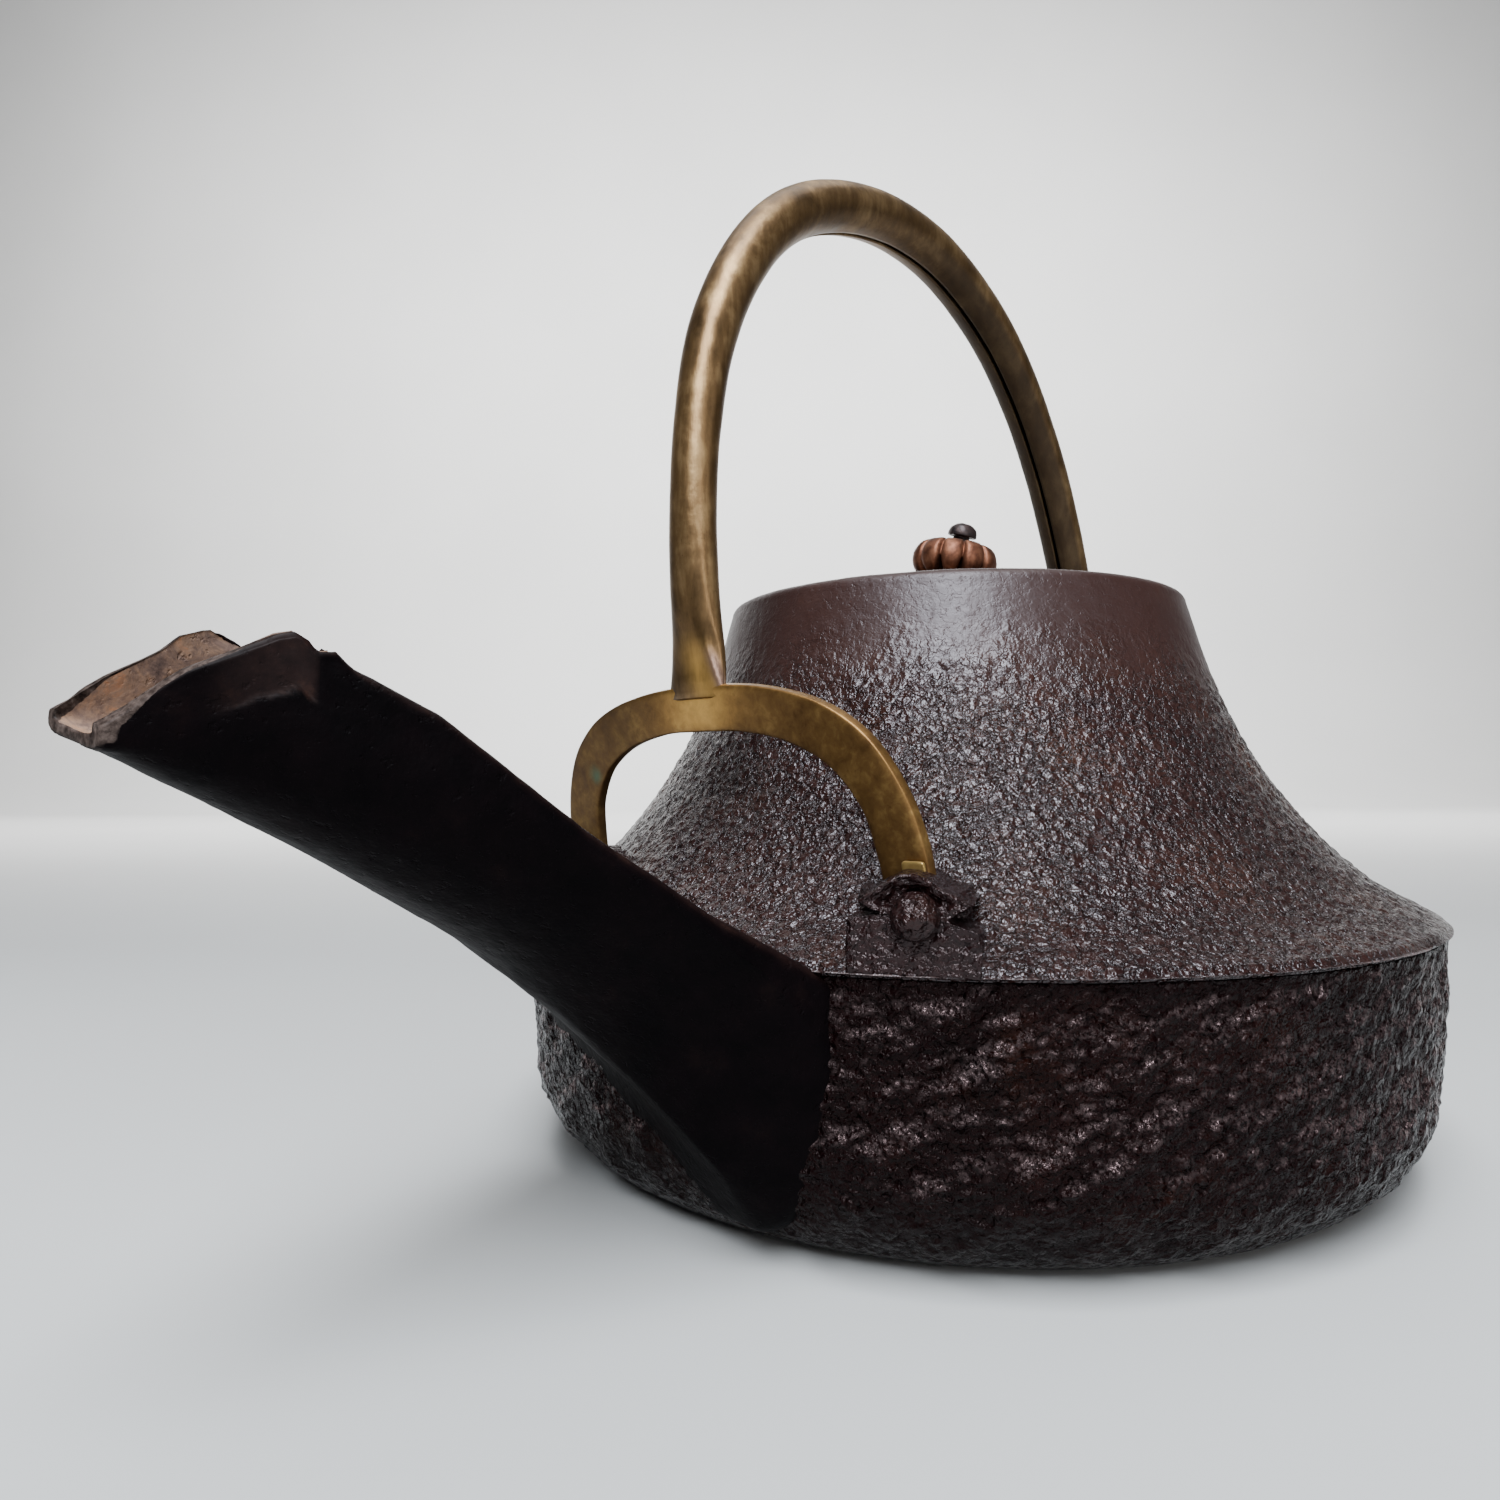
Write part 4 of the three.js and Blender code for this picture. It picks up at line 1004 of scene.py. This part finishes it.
def spout():
    """An outer and an inner trough, a roof and a ceiling over the closed part, strips between."""
    roofed = np.linspace(SPOUT_ROOT, SPOUT_MOUTH_START, 100)
    open_part = np.linspace(SPOUT_MOUTH_START, SPOUT_TIP, 40)[1:]
    s = np.r_[roofed, open_part]
    wall = read_off(SPOUT_WALL, s)
    count = len(roofed)
    outer, outer_half = spout_trough(s, 0.0, None)
    under_roof = np.r_[wall[:count], np.zeros(len(open_part))]
    inner, inner_half = spout_trough(s, wall[:, None], under_roof)
    roof = spout_roof(roofed, outer_half[:count], np.zeros(count))
    ceiling = spout_roof(roofed, inner_half[:count], wall[:count])
    mouth = slice(count - 1, None)
    joined = [(roof[-1], ceiling[-1]), (outer[mouth, 0], inner[mouth, 0]),
              (outer[mouth, -1], inner[mouth, -1]), (outer[-1], inner[-1])]
    sheets = [outer, inner, roof, ceiling] + [strip(*lines, 3) for lines in joined]
    root = strip(np.vstack([outer[0], roof[0, 1:-1]]), np.vstack([inner[0], ceiling[0, 1:-1]]))
    grids = [(sheet, False, False) for sheet in sheets] + [(root, False, True)]
    piece = make_piece("kettle_spout", grids, SPOUT_IRON, "kettle", "spout",
                       merge=2e-5)

    def relief(points, normal):
        """A faint skin, a ragged lip and tip, and a sunken band where the skin has flaked off."""
        reach, across, under = spout_section(points)
        lip = plateau(reach, RAGGED_RISE, RAGGED_FALL) * (1 - ramp(under, *RAGGED_DEPTH))
        ragged = 0.8 * layered_noise(points, 2.6, 61, 4) * lip
        tip = 0.22 * layered_noise(points, 1.5, 67) * ramp(reach, *WORN_TIP)
        span, above = spout_flaked(points, reach, under)
        flaked = span * above * (normal[:, 1] * np.sign(across) > 0.5)
        skin = 0.14 * layered_noise(points, 5, 71) + 0.05 * layered_noise(points, 1.2, 73)
        return skin + ragged + tip - 0.4 * flaked - 0.05

    roughen(piece, relief)
    paint_wear(piece)


def spout_flaked(points, reach, under):
    """Where the skin has flaked off below the top edges: its share along, and above a wavy line."""
    flat = points * np.array([1.0, 0.0, 1.0])
    depth = FLAKED_DEPTH + 0.9 * soft_noise(flat, 5, 79) + 0.9 * layered_noise(flat, 2.2, 83)
    above = 1 - ramp(under, depth - FLAKED_EDGE, depth + FLAKED_EDGE)
    return plateau(reach, FLAKED_RISE, FLAKED_FALL), above


def paint_wear(piece):
    """Stores three masks: the hollow of the open tip, its bare lips, and the worn outer edges."""
    place, normal = points_of(piece)
    nx, ny, nz = normal.T
    reach, across, under = spout_section(place)
    within = np.abs(across) < spout_half(reach) - 0.6 * read_off(SPOUT_WALL, reach)
    inner_side = ny * np.sign(across) < -0.2
    outside = (ny * np.sign(across) > -0.3) & (nz < 0.75)
    inner = inner_side | ((nz > 0.5) & (under > HOLLOW_FLOOR))
    depth = 0.1 + 1.3 * ramp(reach, *LIP_WIDENS)
    lip = ramp(reach, *LIP_START) * (1 - ramp(under, depth, depth + 0.4))
    lip = lip * (0.45 + 0.4 * ramp(reach, 158, 168))
    tip = ramp(reach, *TIP_START) * (0.9 - 0.45 * ramp(nz, 0.0, -0.6)) * (nx < -0.25)
    span, above = spout_flaked(place, reach, under)
    chipped = 1.5 * above * (1 - above) * span * outside
    edge = (1 - ramp(np.abs(under), 1.0, 3.2)) * ramp(nz, 0.1, 0.7) * 0.8
    hollow = ramp(reach, *HOLLOW_START) * within * inner * ramp(under, -0.8, 0.2)
    paint_mask(piece, "hollow", hollow)
    paint_mask(piece, "lip", np.maximum.reduce([lip, tip, chipped]))
    paint_mask(piece, "wear", np.maximum(span * above * outside, edge))


# Lugs
def lug_outline(columns):
    """Distance from the ball's middle to the lug's outline, read at even angles."""
    dense = even_steps(LUG_OUTLINE + LUG_OUTLINE[:1], 1600)
    angle = np.unwrap(np.arctan2(dense[:, 1], dense[:, 0]))
    at = np.arange(columns) * tau / columns + angle[0]
    return at, np.interp(at, angle, np.hypot(dense[:, 0], dense[:, 1]))


def lug(name, node, turn, seed):
    """Rings round the ball's middle: the face's rings sink towards it, the side's rings run back.

    The side's notches fill out behind the face, and nothing reaches far below the slope.
    """
    angle, reach = lug_outline(LUG_COLUMNS)
    up = np.sin(angle)
    notched = (np.abs(up) < 0.32) & (reach < LUG_NOTCH_REACH)
    filled = np.where(notched, np.maximum(reach, LUG_FILLED_REACH), reach)
    hooded = ramp(up, 0.05, 0.35)
    share = np.linspace(0, 1, 21)[:, None]
    dished = 1.5 * hooded * (1 - ramp(share, 0.5, 0.97)) + 0.5 * (1 - hooded) * (1 - share)
    dished += (1 - dished) * (1 - ramp(share, 0.0, 0.3))
    rounded = LUG_CORNER * ramp(share, 0.93, 1.0) ** 2
    side_depth = np.linspace(2 * LUG_CORNER, LUG_DEPTH, 26)[:, None]
    side_reach = reach + ramp(side_depth, *LUG_FILLED_FROM) * (filled - reach)
    back_reach = side_reach[-1] * np.linspace(0.9, 0.0, 4)[:, None]
    radius = np.vstack([reach * share, side_reach, back_reach])
    depth = np.vstack([dished + rounded, side_depth + 0 * side_reach, LUG_DEPTH + 0 * back_reach])
    growth = 1 + 0.03 * depth / LUG_DEPTH
    across = -radius * np.cos(angle) * growth
    height = BALL_HEIGHT + radius * np.sin(angle) * growth
    points = np.stack([-LUG_FACE_RADIUS + depth, across, height], axis=-1)
    lowest = slope_height(np.minimum(from_axis(points), SLOPE[0][0])) - LUG_ROOT
    points[..., 2] = np.maximum(points[..., 2], lowest)
    piece = make_piece(name, [(turned_about_axis(points, turn), False, True)],
                       LUG_IRON, "kettle", node, flat_edges=radians(60))

    def relief(place, normal):
        """Three noises: lumps, ridges that lie level, and fine grit."""
        ridges = layered_noise(place * np.array([0.5, 0.5, 1.2]), 1.6, seed + 9)
        lumps = layered_noise(place, 2.6, seed, 4)
        return 0.22 * lumps + 0.10 * layered_noise(place, 0.8, seed + 3) + 0.16 * ridges

    roughen(piece, relief)


def pin_ball(name, node, turn, seed):
    """A sphere, slightly lumpy: rings of radius R sin a at R cos a along the pin's axis."""
    fall = np.linspace(0, pi, 33)[:, None]
    around = np.arange(64)[None, :] * tau / 64
    x = -LUG_FACE_RADIUS - BALL_SET_OUT - BALL_RADIUS * np.cos(fall) + 0 * around
    y = BALL_RADIUS * np.sin(fall) * np.cos(around) - BALL_ASIDE
    z = BALL_HEIGHT - BALL_DROP + BALL_RADIUS * np.sin(fall) * np.sin(around)
    points = turned_about_axis(np.stack([x, y, z], axis=-1), turn)
    piece = make_piece(name, [(points, False, True)], LUG_IRON, "kettle", node)
    roughen(piece, lambda place, normal: 0.16 * layered_noise(place, 1.7, seed) - 0.06)


# Handle
def fork_line(half):
    """One side's half curve, mirrored into a whole arch and cut into even steps."""
    line = curve_through(half, 90)
    return even_steps(np.vstack([(line[::-1] * np.array([-1, 1]))[:-1], line]), 150)


def fork_placed(across, up, out):
    """Stands the flat arch across the spout and leans its crown outwards."""
    x = FORK_DATUM_X - up * sin(FORK_LEAN) - out * cos(FORK_LEAN)
    z = FORK_DATUM_Z + up * cos(FORK_LEAN) - out * sin(FORK_LEAN)
    return np.stack([x, across, z], axis=-1)


def fork():
    """Rings round a flat band: a squared-off oval, across the band by its thickness."""
    outer, inner = fork_line(FORK_OUTER), fork_line(FORK_INNER)
    middle, reach = (outer + inner) / 2, (outer - inner) / 2
    around = np.arange(FORK_SIDES)[None, :] * tau / FORK_SIDES
    wide = signed_power(np.cos(around), FORK_SQUARE)
    thick = signed_power(np.sin(around), FORK_SQUARE) * FORK_THICKNESS / 2
    across = middle[:, :1] + reach[:, :1] * wide
    band = fork_placed(across, middle[:, 1:] + reach[:, 1:] * wide, thick + 0 * across)
    ends = [strip(band[k], np.repeat(band[k].mean(0)[None], FORK_SIDES, axis=0)) for k in (0, -1)]
    piece = make_piece("handle_fork_band", [(rings, False, True) for rings in (band, *ends)],
                       FORK_BRASS, "kettle", "handle_fork", flat_edges=radians(50))
    roughen(piece, lambda place, normal: 0.10 * layered_noise(place, 7, 83) - 0.05)
    place, _ = points_of(piece)
    aside = place[:, 1]
    patch = hump(aside, -0.5, 6.5) * ramp(place[:, 2], 82.5, 85.5)
    # Darker towards the far leg and a little at the near leg's end, less on the rubbed patch
    smoke = 0.22 + 0.5 * ramp(aside, 4, 22) + 0.1 * ramp(-aside, 25, 40)
    paint_mask(piece, "smoke", smoke - patch)
    paint_mask(piece, "rubbed", patch)
    paint_mask(piece, "green", 1 - ramp(np.linalg.norm(place - GREEN_SPECK, axis=1), 0.5, 2.4))


def shim(name, node, side):
    """A thin brass slip with rounded edges: rings of a squared-off oval from end to end."""
    along = np.linspace(-1, 1, 24)[:, None]
    around = np.arange(40)[None, :] * tau / 40
    shrink = (1 - np.abs(along) ** 8) ** 0.25
    (left, right), (bottom, top) = SHIM_ACROSS, SHIM_UP
    thick = signed_power(np.sin(around), 0.5)
    across = side * (left + right) / 2 + (right - left) / 2 * along + 0 * around
    up = (bottom + top) / 2 + (top - bottom) / 2 * signed_power(np.cos(around), 0.3) * shrink
    out = FORK_THICKNESS / 2 + SHIM_STANDS_OFF + SHIM_THICKNESS / 2 * (1 + thick * shrink)
    points = fork_placed(across, up, out)
    piece = make_piece(name, [(points, False, True)], BRIGHT_BRASS, "kettle", node)
    roughen(piece, lambda place, normal: 0.08 * layered_noise(place, 1.4, 91) - 0.04)


def tube_rings(path, tangent, half_width, half_depth):
    """Sheet rolled nearly shut: an oval from one lip of the seam to the other, and back inside."""
    opening = np.linspace(TUBE_SEAM, tau - TUBE_SEAM, 61)[None, :]
    outwards = np.stack([-tangent[:, 1], tangent[:, 0]], axis=1)

    def oval(inset):
        """An oval in the plane across the path, flatter on its underside."""
        flat = np.where(np.cos(opening) > 0, TUBE_UNDERSIDE, 1.0)
        depth = (half_depth[:, None] - inset) * flat * np.cos(opening)
        y = (half_width[:, None] - inset) * np.sin(opening)
        x = path[:, :1] - outwards[:, :1] * depth
        z = path[:, 1:] - outwards[:, 1:] * depth
        return np.stack([x, y, z], axis=-1)

    return np.concatenate([oval(0.0), oval(TUBE_WALL)[:, ::-1]], axis=1)


def past_fold(place):
    """Distance, to the viewer's right, from a slanting forged fold over the tube's foot."""
    looks = CAMERA_LOOKS
    aside = place[:, 0] * looks.y - place[:, 1] * looks.x - TUBE_PATH[0][0] * looks.y
    return aside - FOLD_START - FOLD_SLOPE * (FOLD_TOP - place[:, 2])


def tube():
    """Rings along the handle's path, with caps at both feet and a forged fold on the front foot."""
    path = even_steps(curve_through(TUBE_PATH, 900), 240)
    tangent = np.gradient(path, axis=0)
    tangent /= np.linalg.norm(tangent, axis=1)[:, None]
    along = np.linspace(0, 1, len(path))
    half_width, half_depth = smooth_off(TUBE_HALF_WIDTH, along), smooth_off(TUBE_HALF_DEPTH, along)
    rings = tube_rings(path, tangent, half_width, half_depth)
    half = rings.shape[1] // 2
    caps = [strip(rings[k, :half], rings[k, half:][::-1]) for k in (0, -1)]
    grids = [(rings, False, True)] + [(cap, False, False) for cap in caps]
    piece = make_piece("handle_tube_sheet", grids, TUBE_BRASS, "kettle", "handle_tube")

    def relief(place, normal):
        """A slow swell, and on the front foot a raised fold with beaten metal beside it."""
        faces_viewer = ramp(-normal[:, 0] - normal[:, 1], 0.0, 0.5)
        faces_viewer = faces_viewer * ramp(FOLD_TOP - place[:, 2], -2, 3) * (place[:, 0] < 0)
        fold = past_fold(place)
        beaten = 0.45 * hump(fold, 0, 0.7) - 0.35 * ramp(fold, 0, 1.2)
        beaten = beaten - 0.4 * ramp(FOOT_FLAT_TOP - place[:, 2], 0, 1.6)
        return 0.12 * layered_noise(place, 11, 89) - 0.12 + beaten * faces_viewer

    roughen(piece, relief)
    place, normal = points_of(piece)
    x, _, z = place.T
    fold, front, rise = past_fold(place), x < 0, z - BEND_MIDDLE
    # Painted shade: darker on the faces turned in under the arch, most along the rear leg
    inward = (-normal[:, 0] * x - normal[:, 2] * rise) / np.hypot(x, rise)
    smoke = ramp(inward + 0.25 * normal[:, 1], -0.15, 0.35) * (0.35 + 0.65 * ramp(x, -30, 10))
    paint_mask(piece, "smoke", smoke)
    paint_mask(piece, "solder", hump(fold, 0.3, 0.9) * (1 - ramp(z, 95, 98)) * front)
    paint_mask(piece, "rubbed", 0.8 * (hump(fold, -2.5, 2.2) * (1 - ramp(z, 94, 101)) * front))


# Lid and knob
def lid_top(radius):
    """Height of the lid's dome, which falls with the square of the radius."""
    return LID_CENTRE_TOP - (LID_CENTRE_TOP - LID_EDGE_TOP) * (radius / LID_RADIUS) ** 2


def lid():
    """A shallow dome with two raised beads; its underside follows, a plate's thickness lower."""
    top_radius = np.linspace(LID_RADIUS - 0.7, NAIL_HOLE, 70)
    beads = sum(height * hump(top_radius, middle, width) for middle, width, height in LID_BEADS)
    top = np.stack([top_radius, lid_top(top_radius) - LID_SUNK + beads * 0.6], axis=1)
    under_radius = np.linspace(NAIL_HOLE, 36.9, 20)
    under = np.stack([under_radius, lid_top(under_radius) - LID_THICKNESS], axis=1)
    edge = [[37.5, LID_UNDERSIDE], [LID_RADIUS - 0.3, LID_UNDERSIDE],
            [LID_RADIUS, LID_UNDERSIDE + 0.3], [LID_RADIUS, LID_EDGE_TOP - 0.8],
            [LID_RADIUS - 0.2, LID_EDGE_TOP - 0.5]]
    profile = np.vstack([under, edge, top])
    piece = make_piece("lid_dome", [(turned(profile, 220), True, True)],
                       LID_BRONZE, "lid", "lid_plate")
    roughen(piece, lambda place, normal: 0.05 * layered_noise(place, 4, 97))


def turned_piece(name, profile, columns, material, node):
    """A closed profile turned about the axis, on the lid."""
    make_piece(name, [(turned(profile, columns), True, True)], material, "lid", node,
               flat_edges=radians(40))


def lean(points, pivot_height, angle, shift=0.0, towards_viewer=False):
    """Leans points about a level line through the axis, to the viewer's right or to the viewer."""
    looks = CAMERA_LOOKS
    sideways = np.array([-looks.x, -looks.y, 0.0] if towards_viewer else [looks.y, -looks.x, 0.0])
    sideways /= np.linalg.norm(sideways)
    height = points[..., 2] - pivot_height
    along = points[..., 0] * sideways[0] + points[..., 1] * sideways[1]
    moved = along * cos(angle) + height * sin(angle) - along + shift
    result = points + moved[..., None] * sideways
    result[..., 2] = pivot_height + height * cos(angle) - along * sin(angle)
    return result


def knob():
    """A ring of petals of uneven width: a swollen section turned about the nail.

    The turn is warped by a sine, so the petals differ. Each crease draws the section in, and lifts
    its underside, so that each petal stands on a foot of its own.
    """
    turn = np.arange(420)[None, :] * tau / 420
    around = np.arange(72)[:, None] * tau / 72
    warped = turn - KNOB_TURN + 0.03 * np.sin(2 * turn - 0.8)
    lobe = np.abs(np.sin(KNOB_PETALS * warped / 2))
    crease = (1 - lobe) ** 4.5
    middle, half_height = (KNOB_TOP + KNOB_BOTTOM) / 2, (KNOB_TOP - KNOB_BOTTOM) / 2
    outwards, below = np.clip(np.cos(around), 0, 1), np.clip(-np.sin(around), 0, 1)
    reach = (KNOB_RADIUS - KNOB_HOLE) / 2
    swell = KNOB_HOLE + reach * (1 + signed_power(np.cos(around), 0.85))
    drawn_in = 0.045 * (1 - lobe) + 0.12 * crease
    radius = swell * (1 - drawn_in * (0.3 + 0.7 * outwards) * (swell > 3))
    lift = KNOB_LIFT * below * (1 - lobe) ** 2.2 * ramp(swell, 3.5, 6)
    height = middle + half_height * np.sin(around) * (1 - 0.10 * crease) + lift
    points = np.stack([radius * np.cos(turn), radius * np.sin(turn), height + 0 * turn], axis=-1)
    points = lean(points, KNOB_BOTTOM, KNOB_LEAN, KNOB_SHIFT)
    piece = make_piece("knob_petals", [(points, True, True)], COPPER, "lid", "lid_knob")
    roughen(piece, lambda place, normal: 0.10 * layered_noise(place, 1.8, 101) - 0.04)


def nail():
    """A mushroom head on a thick neck; the shank leans above the lid and is spread under it."""
    turn = np.linspace(0.05, pi / 2, 16)
    head_radius = NAIL_HEAD_RADIUS * np.cos(turn) ** 0.8
    head_height = NAIL_HEAD_BOTTOM + NAIL_HEAD_HEIGHT * np.sin(turn) ** 0.9
    profile = np.vstack([NAIL_SHANK, np.stack([head_radius, head_height], axis=1)])
    points = turned(even_steps(profile, 90), 72)
    nodded = lean(points, NAIL_NECK, NAIL_NOD, towards_viewer=True)
    points = np.where(points[..., 2:] > NAIL_NECK, nodded, points)
    points = np.where(points[..., 2:] > NAIL_PIVOT, lean(points, NAIL_PIVOT, NAIL_LEAN), points)
    piece = make_piece("knob_nail_head", [(points, False, True)],
                       NAIL_IRON, "lid", "knob_nail")
    roughen(piece, lambda place, normal: 0.16 * layered_noise(place, 1.7, 103) - 0.06)


# Camera, floor and light
def look_along(place, direction, roll=0.0):
    """A turn that points -Z along a direction, with +Y up, then rolled."""
    turn = direction.to_track_quat("-Z", "Y").to_matrix().to_4x4()
    return Matrix.Translation(place) @ turn @ Matrix.Rotation(roll, 4, "Z")


def camera():
    """The camera at the photograph's viewing angle."""
    data = bpy.data.cameras.new("camera")
    data.lens = CAMERA_LENS
    data.sensor_width = 36
    data.sensor_fit = "AUTO"
    data.clip_start = 0.01
    holder = add_object("camera", data)
    holder.matrix_world = look_along(CAMERA_PLACE, CAMERA_LOOKS, CAMERA_ROLL)
    bpy.context.scene.camera = holder


def studio_floor():
    """A pale sheet, flat and then swept up far behind the kettle: a profile carried sideways."""
    f = Finish("pale_paper", Roughness=0.9)
    turn = np.linspace(0, pi / 2, 24)
    sweep_end = SWEEP_START + SWEEP_RADIUS
    away = np.r_[-FLOOR_REACH, SWEEP_START + SWEEP_RADIUS * np.sin(turn), sweep_end]
    height = np.r_[0.0, SWEEP_RADIUS * (1 - np.cos(turn)), SWEEP_TOP]
    aside = np.linspace(-FLOOR_REACH, FLOOR_REACH, 3)
    looks = np.array([CAMERA_LOOKS.x, CAMERA_LOOKS.y]) / np.hypot(CAMERA_LOOKS.x, CAMERA_LOOKS.y)
    x = away[:, None] * looks[0] - aside * looks[1]
    y = away[:, None] * looks[1] + aside * looks[0]
    points = np.stack([x, y, height[:, None] + 0 * aside - FLOOR_DROP], axis=-1)
    mesh = bpy.data.meshes.new("pale_floor")
    mesh.from_pydata(points.reshape(-1, 3), [], grid_faces(*points.shape[:2]).tolist())
    mesh.polygons.foreach_set("use_smooth", np.ones(len(mesh.polygons), bool))
    mesh.materials.append(f.set(Base_Color=f.colours(f.noise(400, 3, 0.5), PAPER_TONES)))
    add_object("pale_floor", mesh)


def soft_light(name, place, target, width, height, power, colour):
    """A rectangular area light at a place, turned to face its target."""
    data = bpy.data.lights.new(name, "AREA")
    data.color = colour
    data.shape = "RECTANGLE"
    data.size = width
    data.size_y = height
    data.energy = power
    place = Vector(place)
    add_object(name, data).matrix_world = look_along(place, Vector(target) - place)


def studio_world():
    """A dim, slightly cool surround."""
    world = bpy.data.worlds.new("studio")
    bpy.context.scene.world = world
    world.use_nodes = True
    background = world.node_tree.nodes["Background"]
    background.inputs["Color"].default_value = (0.92, 0.94, 1.0, 1)
    background.inputs["Strength"].default_value = SKY_STRENGTH


camera()
studio_floor()
studio_world()
for name, settings in LIGHTS.items():
    soft_light(name, *settings)

drum()
shoulder()
spout()
for place, turn, seed in LUGS:
    lug(f"lug_block_{place}", f"lug_{place}", turn, seed)
    pin_ball(f"lug_ball_{place}", f"lug_pin_{place}", turn, seed + 5)
fork()
tube()
lid()
turned_piece("lid_skirt", LID_SKIRT, 200, LID_BRONZE, "lid_ring")
turned_piece("knob_seat", KNOB_SEAT, 96, COPPER, "knob_washer")
turned_piece("clench_plate", CLENCH_PLATE, 80, COPPER, "clench_washer")
knob()
nail()
for side, sign in (("left", -1), ("right", 1)):
    shim(f"brass_shim_{side}", f"fork_wedge_{side}", sign)
